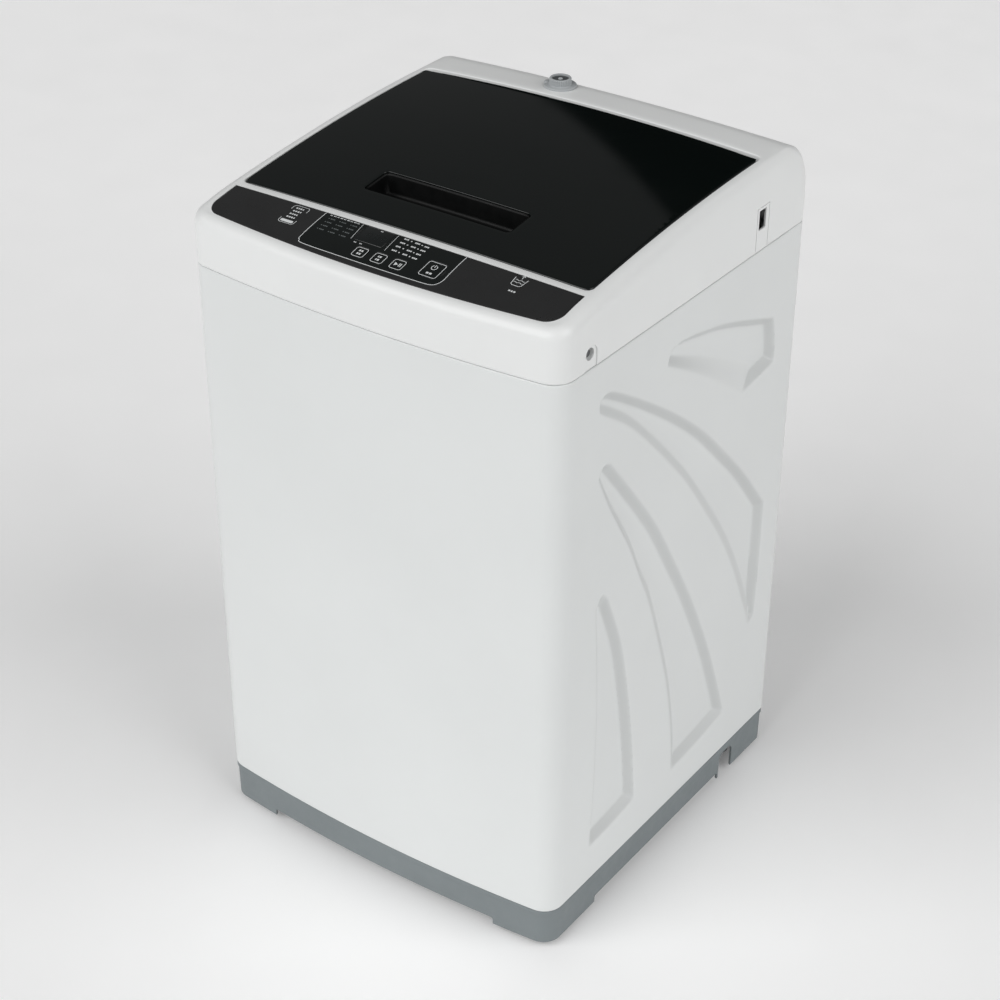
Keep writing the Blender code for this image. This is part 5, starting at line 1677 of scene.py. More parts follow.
def inlet():
    """The ribbed inlet collar on its flange, with the solenoid valve under the deck."""
    deck = top_height(INLET_X, INLET_Y)
    top = deck + 0.0115
    points = [
        (0.0105, top), (0.0124, top), (0.0132, top - 0.0010), (0.0132, deck + 0.0040),
        (0.0140, deck + 0.0033),
        (0.0188, deck + 0.0031), (0.0195, deck + 0.0024), (0.0195, deck + 0.0004), (0.0135, deck + 0.0004),
        (0.0135, 0.8300), (0.0080, 0.8300), (0.0080, 0.8160), (0.0062, 0.8160), (0.0062, deck - 0.013),
        (0.0105, deck - 0.012),
    ]

    def ribs(angle, radius, z):
        if 0.0128 < radius < 0.0134 and z > deck + 0.0036:
            radius -= 0.0007 * (0.5 + 0.5 * math.cos(30 * angle)) ** 2
        return radius, z

    centre = (INLET_X, INLET_Y)
    lathe("inlet_collar", points, PALE_GREY, "cabinet", ["water_inlet_valve"], centre, 0.0004, 240, ribs)
    bm = bmesh.new()
    ear = [(0.0026, 0.0050), (0.0042, 0.0040), (0.0046, 0.0010), (0, 0.0010)]
    ear = [(0, deck + 0.0052)] + [(radius, deck + rise) for radius, rise in ear]
    add_turned_at(bm, ear, Matrix.Translation((INLET_X - 0.0165, INLET_Y - 0.0030, 0)), 0.0006, 24)
    new_piece("inlet_ear", bm, PALE_GREY, "cabinet")
    boxes = [((INLET_X - 0.040, INLET_Y - 0.012, 0.832), (INLET_X - 0.012, INLET_Y + 0.012, 0.852))]
    for y in (INLET_Y - 0.006, INLET_Y + 0.006):  # the two blades of its plug
        boxes.append(((INLET_X - 0.046, y - 0.0030, 0.838), (INLET_X - 0.039, y + 0.0030, 0.8388)))
    block("inlet_solenoid", boxes, WHITE, "cabinet", bevel=0.0015)
    z = top - 0.0021
    bm = bmesh.new()
    rim = [(0.0086, z - 0.0014), (0.0101, z - 0.0014), (0.0101, z + 0.0003), (0.0086, z + 0.0003)]
    add_turned_at(bm, rim, Matrix.Translation((*centre, 0)), 0.0003, 48)
    half_wire = 0.00022
    for i in range(-7, 8):
        offset = i * 0.00120
        half = math.sqrt(max(0.0, 0.0090**2 - offset**2))
        x, y = INLET_X + offset, INLET_Y + offset
        add_box(bm, (x - half_wire, INLET_Y - half, z - 0.0006), (x + half_wire, INLET_Y + half, z - 0.0001))
        add_box(bm, (INLET_X - half, y - half_wire, z - 0.0004), (INLET_X + half, y + half_wire, z + 0.0001))
    floor = [(0, z - 0.0014), (0.0090, z - 0.0014), (0.0090, z - 0.0009), (0, z - 0.0009)]
    add_turned_at(bm, floor, Matrix.Translation((*centre, 0)), 0.0001, 32)
    new_piece("inlet_mesh", bm, DARK_GREY, "cabinet", ["inlet_filter_screen"])
    pull = [
        (0, z + 0.0014), (0.0022, z + 0.0012), (0.0028, z + 0.0006), (0.0030, z - 0.0004), (0, z - 0.0004),
    ]
    lathe("inlet_mesh_pull", pull, PALE_GREY, "cabinet", centre=centre, radius=0.0003, steps=32)


def water_duct():
    """The flat channel from the valve to the back of the mouth."""

    def hollow(bm):
        add_box(bm, (-0.0455, 0.15, 0.7895), (0.0455, 0.1680, 0.8065))
        add_cylinder(bm, (INLET_X, INLET_Y, 0.812), 0.007, 0.01)

    channel = [((-0.080, 0.1640, 0.7860), (0.050, 0.2300, 0.8120))]
    block("duct_channel", channel, WHITE, "cabinet", ["water_inlet_duct"], 0.0012, cut=hollow)

    def throat(bm):
        add_box(bm, (-0.0432, 0.150, 0.7918), (0.0432, 0.172, 0.8042))

    nozzle = [((-0.0450, 0.1560, 0.7900), (0.0450, 0.1700, 0.8060))]
    block("duct_nozzle", nozzle, WHITE, "cabinet", bevel=0.0006, cut=throat)
    bars = [((x - 0.0006, 0.1570, 0.7916), (x + 0.0006, 0.1680, 0.8044)) for x in spaced(-0.036, 0.036, 9)]
    block("duct_louvres", bars, WHITE, "cabinet", bevel=0.0002)


def electrics():
    """The water level sensor, the lid switch, the motor's capacitor in its strap, and the drain spout."""
    centre = (0.110, 0.205)
    points = [
        (0, 0.8120), (0.010, 0.8120), (0.012, 0.8095), (0.0245, 0.8090), (0.026, 0.8070), (0.026, 0.8010),
        (0.0248, 0.8000), (0.026, 0.7990), (0.026, 0.7885), (0.024, 0.7880), (0.006, 0.7880),
        (0.0045, 0.7860),
        (0.0040, 0.7745), (0.0024, 0.7740), (0, 0.7740),
    ]
    lathe("level_sensor", points, BLUE, "cabinet", ["pressure_switch"], centre, 0.0008, 64)
    low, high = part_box("lid_switch")
    boxes = [((low.x, 0.1850, low.z), tuple(high)), ((0.207, 0.1790, 0.8280), (0.213, 0.1880, 0.8310))]
    block("lid_microswitch", boxes, WHITE, "cabinet", ["lid_switch"], 0.0012)
    low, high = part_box("run_capacitor")
    x, y = (low.x + high.x) / 2, (low.y + high.y) / 2
    can = [
        (0, high.z), (0.0105, high.z), (0.0150, high.z - 0.002), (0.016, high.z - 0.005), (0.016, low.z),
        (0, low.z),
    ]
    lathe("motor_capacitor", can, TUB, "cabinet", ["run_capacitor"], (x, y), 0.0012, 48)
    strap = [((x - 0.0185, y - 0.0175, 0.6350), (x + 0.0185, y + 0.0180, 0.6450))]
    strap = block("capacitor_strap", strap, ZINC, "cabinet", bevel=0.0004)
    cut_with(strap, lambda bm: add_cylinder(bm, (x, y, 0.64), 0.0163, 0.03, 40))
    bm = bmesh.new()
    outlet = [
        (0.0100, 0.046), (0.0116, 0.046), (0.0120, 0.0455), (0.0120, 0.006), (0.0120, 0.0), (0.0100, 0.0),
    ]
    add_turned_at(bm, outlet, facing((0.1900, SPOUT_Y, SPOUT_Z), (1, 0, 0)), 0.0004, 48)
    for start in (0.2080, 0.2150, 0.2220):
        barb = [(0.0115, start), (0.0128, start), (0.0118, start + 0.004), (0.0115, start + 0.004)]
        add_turned_at(bm, barb, facing((0.0, SPOUT_Y, SPOUT_Z), (1, 0, 0)), 0.0, 48)
    new_piece("drain_spout", bm, GREY, "cabinet", ["drain_outlet"])


# ---------------------------------------------------------------- base, feet, back


def base_skirt():
    """The grey skirt with a lip at its top, lifted between the corner blocks, and an arch for a hose."""
    outline = plan_outline(30, spaced(-0.21, 0.24, 60), 30)
    rows = []
    profile = [
        (0.0032, BASE_BOTTOM), (0.0024, BASE_BOTTOM + 0.0008), (0.0021, 0.030), (0.0018, 0.0510),
        (0.0007, 0.0516),
        (0.0004, 0.0524), (0.0004, 0.0572), (0.0008, 0.0581), (0.0018, BASE_TOP),
    ]
    for inset, z in profile:
        rows.append([(x - nx * inset, y - ny * inset, z) for x, y, nx, ny in outline])
    skirt = grid_piece("base_skirt", rows, GREY, "cabinet", ["base_frame"], around=True, wall=0.0028)
    lift, far, under = BASE_BOTTOM + 0.0102, 0.3, -0.02

    def front_gaps(bm):
        loop = rounded_rectangle((-0.170, under), (0.170, lift), 0.003)
        add_solid(bm, [(x, far, z) for x, z in loop], [(x, -far, z) for x, z in loop])

    def side_gaps(bm):
        add_prism_x(bm, rounded_rectangle((-0.145, under), (0.143, lift), 0.003), -far, far)

    def arch(bm):
        add_prism_x(bm, rounded_rectangle((0.146, under), (0.178, 0.045), 0.010, 8), 0.2, far)

    for cutters in (front_gaps, side_gaps, arch):
        cut_with(skirt, cutters)
    bm = bmesh.new()
    ring = [(x - nx * 0.0040, y - ny * 0.0040) for x, y, nx, ny in outline]
    inner = rounded_rectangle((-0.200, -0.205), (0.200, 0.205), 0.030, 8, 0.01)
    lines = spaced(-0.24, 0.24, 12)
    for z in (BASE_TOP - 0.0035, BASE_TOP - 0.0005):

        def level(x, y, z=z):
            return z

        filled_surface(bm, [raised(ring, level)], [[raised(inner, level)]], level, lines, lines)
    new_piece("base_flange", bm, GREY, "cabinet")
    foot_bosses()


def foot_bosses():
    """A threaded boss for each foot, with four webs that end at the skirt."""
    boss = [(0.0057, 0.0112), (0.0130, 0.0112), (0.0140, 0.0122), (0.0140, 0.0575), (0.0057, 0.0575)]
    reach_x, reach_y, half_web = 0.244, 0.246, 0.001
    bm = bmesh.new()
    for side_x, side_y in QUARTERS:
        x, y = side_x * FOOT_X, side_y * FOOT_Y
        add_turned_at(bm, boss, Matrix.Translation((x, y, 0)), 0.0006, 40)
        for sx, sy in ((1, 0), (0, 1), (-1, 0), (0, -1)):
            far_x = min(reach_x, max(-reach_x, x + sx * 0.034))
            far_y = min(reach_y, max(-reach_y, y + sy * 0.034))
            near_x, near_y = x + sx * 0.0135, y + sy * 0.0135
            thick_x, thick_y = half_web * abs(sy), half_web * abs(sx)
            low = (min(near_x, far_x) - thick_x, min(near_y, far_y) - thick_y, 0.030)
            high = (max(near_x, far_x) + thick_x, max(near_y, far_y) + thick_y, 0.0560)
            add_box(bm, low, high)
    new_piece("foot_bosses", bm, GREY, "cabinet")


def feet():
    """Levelling feet: a grooved rubber sole on a threaded stud."""
    sole = [
        (0, 0.0075), (0.0150, 0.0075), (0.0176, 0.0060), (0.0180, 0.0048), (0.0180, 0.0), (0.0140, 0.0),
        (0.0136, 0.0008), (0.0100, 0.0008), (0.0096, 0.0), (0, 0.0),
    ]
    stud = [(0, 0.0400), (0.0040, 0.0400)]
    for i in range(18):
        z = 0.0390 - 0.0015 * i
        stud += [(0.0050, z), (0.0043, z - 0.00075)]
    stud += [(0.0046, 0.0110), (0.0088, 0.0108), (0.0088, 0.0076), (0, 0.0076)]

    def grip(angle, radius, z):
        if radius > 0.0165 and z > 0.0012:
            radius -= 0.0006 * (0.5 + 0.5 * math.cos(20 * angle))
        return radius, z

    for end, side, sx, sy in CORNERS:
        node = f"{end}_foot_{side}"
        body = node if end == "front" else "cabinet"
        centre = (sx * FOOT_X, sy * FOOT_Y)
        lathe(f"{node}_sole", sole, RUBBER, body, [node], centre, 0.0005, 120, grip)
        turned_piece(f"{node}_stud", stud, ZINC, body, (), centre, 36, 30)


def rear_sheet():
    """The back: a sheet with three long pressed ribs, held by low-headed screws."""
    back = HALF_D - SHEET - 0.0003
    low_z, high_z = BASE_TOP + 0.002, SEAM - 0.003
    middles = spaced(low_z, high_z, 4)[1:-1]
    half = HALF_W - 0.012

    def depth(x, z):
        ends = ease((half - 0.020 - abs(x)) / 0.012)
        return 0.0040 * ends * max(ease((0.0205 - abs(z - m)) / 0.0065) for m in middles)

    zs = set(spaced(low_z, high_z, 24))
    for m in middles:
        zs |= {m + s * d for s in (-1, 1) for d in (0.008, 0.0135, 0.0150, 0.0165, 0.0180, 0.0195, 0.021)}
    ends = [half - d for d in (0.0, 0.010, 0.019, 0.022, 0.025, 0.028, 0.031, 0.034)]
    xs = sorted(set(ends + [-x for x in ends] + spaced(-0.190, 0.190, 24)), reverse=True)
    rows = [[(x, back - depth(x, z), z) for x in xs] for z in sorted(zs)]
    grid_piece("rear_sheet", rows, STEEL_PAINT, "cabinet", ["rear_panel"], wall=SHEET)
    bm = bmesh.new()
    places = [(sx * 0.205, back, z) for sx in (-1, 1) for z in (0.090, 0.322, 0.500, 0.735)]
    places += [(x, back, z) for x in (-0.09, 0.09) for z in (0.072, 0.748)]
    add_screws(bm, places, (0, 1, 0))

    def slots(cutters):
        for x, y, z in places:
            add_box(cutters, (x - 0.0022, y + 0.0006, z - 0.0004), (x + 0.0022, y + 0.0016, z + 0.0004))

    cut_with(new_piece("rear_screws", bm, ZINC, "cabinet"), slots)
    service_cover()


def service_cover():
    """The cover in the moulding's back, with a row of blind vents and two screws."""

    def vents(bm):
        for x in spaced(-0.09, 0.09, 12):
            add_box(bm, (x - 0.0030, HALF_D - 0.0009, 0.7800), (x + 0.0030, HALF_D + 0.001, 0.8040))

    low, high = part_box("rear_service_cover")
    sheet = [(low, (high.x, high.y - 0.0002, high.z))]
    block("service_cover", sheet, WHITE, "cabinet", ["rear_service_cover"], 0.0004, cut=vents)
    bm = bmesh.new()
    add_screws(bm, [(sx * 0.138, HALF_D - 0.0005, 0.792) for sx in (-1, 1)], (0, 1, 0), 0.0036, 0.0005)
    new_piece("service_cover_screws", bm, ZINC, "cabinet")


# ---------------------------------------------------------------- suspension, hose


def suspension():
    """Four hanging rods with ball heads, and a coil spring under each tub lug."""
    ball = 0.0095
    rod = [(0, 0.7480)] + [(ball * math.sin(a), 0.7385 + ball * math.cos(a)) for a in spaced(0.3, 1.7, 8)]
    rod += [
        (0.0060, 0.7364), (0.0040, 0.7358), (0.0040, 0.1160), (0.0150, 0.1154), (0.0160, 0.1146),
        (0.0160, 0.1128),
        (0.0150, 0.1120), (0, 0.1120),
    ]
    low, high = 0.1155 + 0.0018, 0.205 - 0.0021
    for end, side, sx, sy in CORNERS:
        tag = f"{end}_{side}"
        centre = (sx * ROD_X, sy * ROD_Y)
        turned_piece(f"hanging_rod_{tag}", rod, ZINC, "cabinet", [f"suspension_rod_{tag}"], centre, 32)
        points, node = coil_points(centre, low, high), f"suspension_spring_{tag}"
        coil = tube_piece(f"coil_spring_{tag}", points, lambda run: 0.0016, ZINC, [node], 8)
        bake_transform(coil)


def coil_points(centre, low, high):
    """A coil of seven turns whose first and last three quarters of a turn lie nearly flat."""
    turns, per_turn, radius, flat_turn = 7, 20, 0.0115, 0.75
    points = []
    for i in range(turns * per_turn + 1):
        share = i / (turns * per_turn)
        from_end = min(share, 1 - share) * turns
        z = low + (high - low) * share
        if from_end <= flat_turn:
            z += math.copysign(0.0018 * (1 - from_end / flat_turn) ** 2, share - 0.5)
        angle = 2 * math.pi * i / per_turn
        x, y = centre[0] + radius * math.cos(angle), centre[1] + radius * math.sin(angle)
        points.append(Vector((x, y, min(high, max(low, z)))))
    return points


def hose():
    """The corrugated drain hose from the valve under the tub to the spout in the base."""
    route = (
        (-0.0660, VALVE_Y, HOSE_Z), (-0.0500, VALVE_Y, HOSE_Z), (-0.0200, 0.1280, 0.1850),
        (0.0100, 0.1500, 0.1300),
        (0.0450, 0.1640, 0.0750), (0.0950, 0.1640, 0.0400), (0.1500, SPOUT_Y, SPOUT_Z),
        (0.1880, SPOUT_Y, SPOUT_Z),
    )
    points = catmull(route, 40)
    total = sum((b - a).length for a, b in zip(points, points[1:]))
    cuff, pitch = 0.024, 0.0052

    def ripple(run):
        if run < cuff or run > total - cuff:
            return 0.0124
        return 0.0111 + 0.0014 * math.cos(2 * math.pi * run / pitch)

    obj = tube_piece("corrugated_hose", points, ripple, GREY, ["drain_hose"], 20)
    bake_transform(obj)


# ---------------------------------------------------------------- tub and drive


def tub_and_cover():
    """The water tub with its ribs and rod lugs, and the ring clipped on top."""
    points = [
        (0.2130, 0.6900), (0.2158, 0.6900), (0.2160, 0.6860), (0.2145, 0.6820), (0.2120, 0.2490, 0.004),
        (0.2020, 0.2350), (0.0520, 0.2350), (0.0520, 0.2390), (0.2010, 0.2390, 0.004), (0.2085, 0.2500),
        (0.2115, 0.6780),
    ]
    obj = lathe("water_tub", points, TUB, "tub", ["outer_tub"], radius=0.0025, steps=128)
    cut_with(obj, lambda bm: add_cylinder(bm, (VALVE_X, VALVE_Y, 0.235), 0.0160, 0.03))
    bm = bmesh.new()
    add_fins(bm, 24, 0.5, (0.2105, 0.262, 0.672), (0.2155, 0.266, 0.668), 0.0011)
    for i in range(16):
        angle = 2 * math.pi * (i + 0.5) / 16
        x, y = 0.14 * math.cos(angle), 0.14 * math.sin(angle)
        if math.hypot(x - VALVE_X, y - VALVE_Y) > 0.05:  # no rib crosses the drain valve
            add_fin(bm, angle, (0.155, 0.2305, 0.2360), (0.198, 0.2325, 0.2360), 0.0011)
    new_piece("tub_ribs", bm, TUB, "tub")
    tub_lugs()
    ring = [
        (0.1780, 0.6930), (0.1800, 0.7000), (0.2150, 0.7000), (0.2160, 0.6990), (0.2160, 0.6903),
        (0.2100, 0.6903),
        (0.2080, 0.6965), (0.1820, 0.6965),
    ]
    lathe("cover_ring", ring, TUB, "tub", ["tub_cover_ring"], radius=0.0012, steps=128)
    bm = bmesh.new()
    add_fins(bm, 12, 0.5, (0.1840, 0.6996, 0.7006), (0.2110, 0.6996, 0.7006), 0.0035)
    add_fins(bm, 12, 0.5, (0.2150, 0.6750, 0.6995), (0.2164, 0.6750, 0.6995), 0.0080)
    soften(new_piece("cover_ring_clips", bm, TUB, "tub"), 0.0004)


def tub_lugs():
    """The four arms that rest on the springs, each with a round end and a hole for its rod."""
    bm = bmesh.new()
    for sx, sy in QUARTERS:
        rod = Vector((sx * ROD_X, sy * ROD_Y))
        along = rod.normalized()
        side = Vector((-along.y, along.x))
        angle = math.atan2(along.y, along.x)
        tip = [rod + Vector((math.cos(t), math.sin(t))) * 0.016
               for t in spaced(angle - math.pi / 2, angle + math.pi / 2, 12)]
        outline = [along * 0.196 - side * 0.030, rod - along * 0.010 - side * 0.018, *tip]
        outline += [rod - along * 0.010 + side * 0.018, along * 0.196 + side * 0.030]
        add_prism(bm, outline, 0.2052, 0.2545)
    lugs = new_piece("tub_lugs", bm, TUB, "tub")

    def lug_holes(cutters):
        for sx, sy in QUARTERS:
            add_cylinder(cutters, (sx * ROD_X, sy * ROD_Y, 0.23), 0.0068, 0.08)

    soften(cut_with(lugs, lug_holes), 0.0012)


def drive():
    """Bracket, clutch, motor, pulleys and belt."""
    outline = [
        (-0.150, -0.060), (0.060, -0.075), (0.190, -0.060), (0.190, 0.060), (0.060, 0.075), (-0.150, 0.060),
    ]
    bm = bmesh.new()
    add_prism(bm, outline, 0.2310, 0.2338)
    plate = new_piece("bracket_plate", bm, ZINC, "tub", ["drive_bracket"])

    def openings(cutters):
        add_cylinder(cutters, (0, 0, 0.232), 0.034, 0.02, 48)
        for x, y in ((-0.115, 0.040), (-0.115, -0.040), (0.062, 0.050), (0.062, -0.050)):
            add_cylinder(cutters, (x, y, 0.232), 0.011, 0.02, 24)

    soften(cut_with(plate, openings), 0.0006)
    rims = [((-0.148, y - 0.0008, 0.2225), (0.010, y + 0.0008, 0.2315)) for y in (-0.0585, 0.0585)]
    block("bracket_flanges", rims, ZINC, "tub", bevel=0.0004)
    bm = bmesh.new()
    for x, y in ((-0.135, 0.0), (-0.060, 0.045), (-0.060, -0.045), (0.035, 0.055), (0.035, -0.055)):
        add_prism(bm, hexagon(x, y, 0.0065), 0.2262, 0.2312)
    soften(new_piece("bracket_bolts", bm, ZINC, "tub"), 0.0004)
    clutch = [
        (0.0190, 0.2340), (0.0320, 0.2340), (0.0330, 0.2000), (0.0480, 0.1960), (0.0480, 0.1350),
        (0.0300, 0.1300),
        (0.0130, 0.1300), (0.0130, 0.1340), (0.0190, 0.1420),
    ]
    lathe("clutch_case", clutch, CAST, "tub", ["clutch_housing"], radius=0.002, steps=72)
    bm = bmesh.new()
    add_fins(bm, 8, 0.5, (0.0310, 0.1985, 0.2300), (0.0440, 0.1975, 0.2010), 0.0012)
    new_piece("clutch_fins", bm, CAST, "tub")
    motor = [
        (0.0075, 0.2300), (0.0300, 0.2300), (0.0520, 0.2240), (0.0570, 0.2140), (0.0570, 0.2010),
        (0.0560, 0.2000),
        (0.0560, 0.1640), (0.0570, 0.1630), (0.0570, 0.1500), (0.0520, 0.1400), (0.0200, 0.1360),
        (0.0200, 0.1300),
        (0.0075, 0.1300),
    ]
    centre = (MOTOR_X, 0.0)
    lathe("motor_case", motor, CAST, "tub", ["drive_motor"], centre, 0.002, 72)
    core = [(0.0552, 0.1990), (0.0552, 0.1650)]
    for i in range(17):
        z = 0.1655 + 0.0020 * i
        core += [(0.0580, z), (0.0580, z + 0.0014), (0.0576, z + 0.0015), (0.0576, z + 0.0019)]
    turned_piece("motor_core", core, STAINLESS, "tub", (), centre, 72, 20)
    bm = bmesh.new()
    add_fins(bm, 12, 0, (0.0240, 0.1345, 0.1375), (0.0490, 0.1375, 0.1405), 0.0011, centre)
    add_fins(bm, 12, 0, (0.0480, 0.1395, 0.1480), (0.0574, 0.1480, 0.1560), 0.0011, centre)
    new_piece("motor_fins", bm, CAST, "tub")
    wheel("drive_wheel", "drive_pulley", 0.0, DRIVE_GROOVE, 0.016, 0.1500, 0.0100, 6)
    wheel("motor_wheel", "motor_pulley", MOTOR_X, MOTOR_GROOVE, 0.013, 0.1700, 0.0070, 4)
    belt()


def wheel(name, node, x, groove, hub, shaft_top, shaft_radius, holes):
    """A pulley with a shallow dish, lightening holes, and its shaft."""
    half, flange, web = 0.0045 + 0.0012, groove + 0.009, groove * 0.92
    upper, lower = BELT_Z + half, BELT_Z - half
    points = [
        (0, BELT_Z + 0.0180), (hub, BELT_Z + 0.0180), (hub, upper + 0.001), (web, upper - 0.001),
        (groove * 0.95, upper + 0.0018), (flange, upper + 0.0018), (flange, upper + 0.0003),
        (groove, upper - 0.0006),
        (groove, lower + 0.0006), (flange, lower - 0.0003), (flange, lower - 0.0018),
        (groove * 0.95, lower - 0.0018),
        (web, lower + 0.003), (hub, lower + 0.003), (hub, lower - 0.0018), (0, lower - 0.0018),
    ]
    obj = lathe(name, points, CAST, node, [node], (x, 0.0), 0.0006, 72)

    def lightening(bm):
        for px, py, _ in around_z(holes, (web + hub) / 2, 0.0):
            add_cylinder(bm, (x + px, py, BELT_Z), (web - hub) * 0.32, 0.04)

    cut_with(obj, lightening)
    foot, chamfer = BELT_Z + 0.017, 0.0008
    shaft = [(0, shaft_top), (shaft_radius - chamfer, shaft_top), (shaft_radius, shaft_top - chamfer)]
    shaft += [(shaft_radius, foot), (0, foot)]
    turned_piece(f"{name}_shaft", shaft, STAINLESS, node, (), (x, 0.0), 40, slot="cast_aluminium")
    bm = bmesh.new()
    add_prism(bm, hexagon(x, 0.0, 0.0075), lower - 0.0060, lower - 0.0016)
    soften(new_piece(f"{name}_nut", bm, ZINC, node, slot="cast_aluminium"), 0.0006)


def belt():
    """A ribbed V belt round both pulleys."""

    def path(extra):
        big, small = DRIVE_GROOVE + extra, MOTOR_GROOVE + extra
        lean = math.degrees(math.asin((big - small) / MOTOR_X))
        far_side = circle(MOTOR_X, 0.0, small, 40, lean - 90, 90 - lean)
        return circle(0.0, 0.0, big, 64, 90 - lean, 270 + lean) + far_side

    section = (
        (0.0008, -0.0030), (0.0034, -0.0040), (0.0060, -0.0045), (0.0068, -0.0042), (0.0068, 0.0042),
        (0.0060, 0.0045), (0.0034, 0.0040), (0.0008, 0.0030), (0.0008, 0.0012), (0.0014, 0.0),
        (0.0008, -0.0012),
    )
    loops = [[(x, y, BELT_Z + dz) for x, y in path(extra)] for extra, dz in section]
    bm = bmesh.new()
    add_grid(bm, loops + loops[:1], around=True)
    bmesh.ops.remove_doubles(bm, verts=bm.verts, dist=MERGE)
    new_piece("v_belt", bm, RUBBER, "tub", ["drive_belt"], 40)


def drain():
    """The drain valve, its actuator and the rod between them."""
    valve = [
        (0.0150, 0.2515), (0.0120, 0.2515), (0.0120, 0.2000), (0.0, 0.1990), (0.0, 0.1880), (0.0200, 0.1880),
        (0.0240, 0.1900), (0.0240, 0.1925), (0.0228, 0.1935), (0.0228, 0.2280), (0.0240, 0.2290),
        (0.0240, 0.2335),
        (0.0150, 0.2340),
    ]
    lathe("valve_body", valve, WHITE, "tub", ["drain_valve"], (VALVE_X, VALVE_Y), 0.0010, 64)
    bm = bmesh.new()
    outlet = [(0.0080, 0.0), (0.0110, 0.0), (0.0110, 0.0270), (0.0106, 0.0282), (0.0080, 0.0282)]
    add_turned_at(bm, outlet, facing((VALVE_X + 0.0150, VALVE_Y, HOSE_Z), (1, 0, 0)), 0.0004, 48)
    add_fins(bm, 6, 0.5, (0.0222, 0.194, 0.228), (0.0238, 0.194, 0.228), 0.0009, (VALVE_X, VALVE_Y))
    new_piece("valve_outlet", bm, WHITE, "tub")
    clamp = [(0.0126, 0.0), (0.0134, 0.0), (0.0134, 0.0070), (0.0126, 0.0070)]
    bm = bmesh.new()
    add_turned_at(bm, clamp, facing((-0.0640, VALVE_Y, HOSE_Z), (1, 0, 0)), 0.0003, 48)
    new_piece("hose_clamp", bm, ZINC, "tub")
    block("actuator_case", [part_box("drain_actuator")], DARK_GREY, "tub", ["drain_actuator"], 0.0025)
    rod = [
        ((-0.1130, 0.0190, 0.2080), (-0.1070, 0.0940, 0.2120)),
        ((-0.1150, 0.0190, 0.2070), (-0.1050, 0.0240, 0.2130)),
        ((-0.1150, 0.0895, 0.2070), (-0.1050, 0.0940, 0.2130)),
    ]
    block("pull_rod", rod, ZINC, "drain_pull_rod", ["drain_pull_rod"], 0.0006)


# ---------------------------------------------------------------- basket and pulsator


def drum_wall():
    """The stainless drum: rows of real drain holes between plain pressed ribs."""
    columns, band = 60, 10  # one column in each band is a rib
    radius, hole_radius = 0.1980, 0.0018
    zs = spaced(0.300, 0.640, 18)
    bm = bmesh.new()

    def surface(angle, z):
        share = (angle / (2 * math.pi) * columns) % band
        press = ease(1 - abs(share - 0.5) / 0.42) * ease((z - 0.306) / 0.012) * ease((0.634 - z) / 0.012)
        r = radius - 0.0005 - 0.0035 * press
        return (r * math.cos(angle), r * math.sin(angle), z)

    def add_holed_cell(a0, a1, z0, z1, shift):
        mid_a, mid_z = (a0 + a1) / 2 + shift * (a1 - a0), (z0 + z1) / 2
        rim, ring = [], []
        corners = [(a0, z0), (mid_a, z0), (a1, z0), (a1, mid_z), (a1, z1), (mid_a, z1), (a0, z1), (a0, mid_z)]
        for a, z in corners:
            t = math.atan2((z - mid_z), (a - mid_a) * radius)
            rim.append(bm.verts.new(surface(a, z)))
            place = surface(mid_a + hole_radius * math.cos(t) / radius, mid_z + hole_radius * math.sin(t))
            ring.append(bm.verts.new(place))
        for i in range(8):
            j = (i + 1) % 8
            bm.faces.new((rim[i], rim[j], ring[j], ring[i]))

    for c in range(columns):
        a0, a1 = 2 * math.pi * c / columns, 2 * math.pi * (c + 1) / columns
        for k, (z0, z1) in enumerate(zip(zs, zs[1:])):
            if c % band == 0:
                add_grid(bm, [[surface(a, z) for a in spaced(a0, a1, 8)] for z in (z0, (z0 + z1) / 2, z1)])
            else:
                add_holed_cell(a0, a1, z0, z1, 0.125 if k % 2 else -0.125)
    bmesh.ops.remove_doubles(bm, verts=bm.verts, dist=2e-5)
    new_piece("drum_wall", bm, STAINLESS, "basket", ["basket_wall"], 40, recalc=False)
    top = [(0.1970, 0.6400), (0.1970, 0.6600), (0.1980, 0.6600), (0.1980, 0.6400)]
    turned_piece("drum_top_band", top, STAINLESS, "basket", steps=120)
    foot = [
        (0.1975, 0.3000), (0.1980, 0.2920), (0.1920, 0.2840), (0.1910, 0.2850), (0.1970, 0.2925),
        (0.1968, 0.3000),
    ]
    lathe("drum_foot_band", foot, STAINLESS, "basket", radius=0.0008, steps=120)


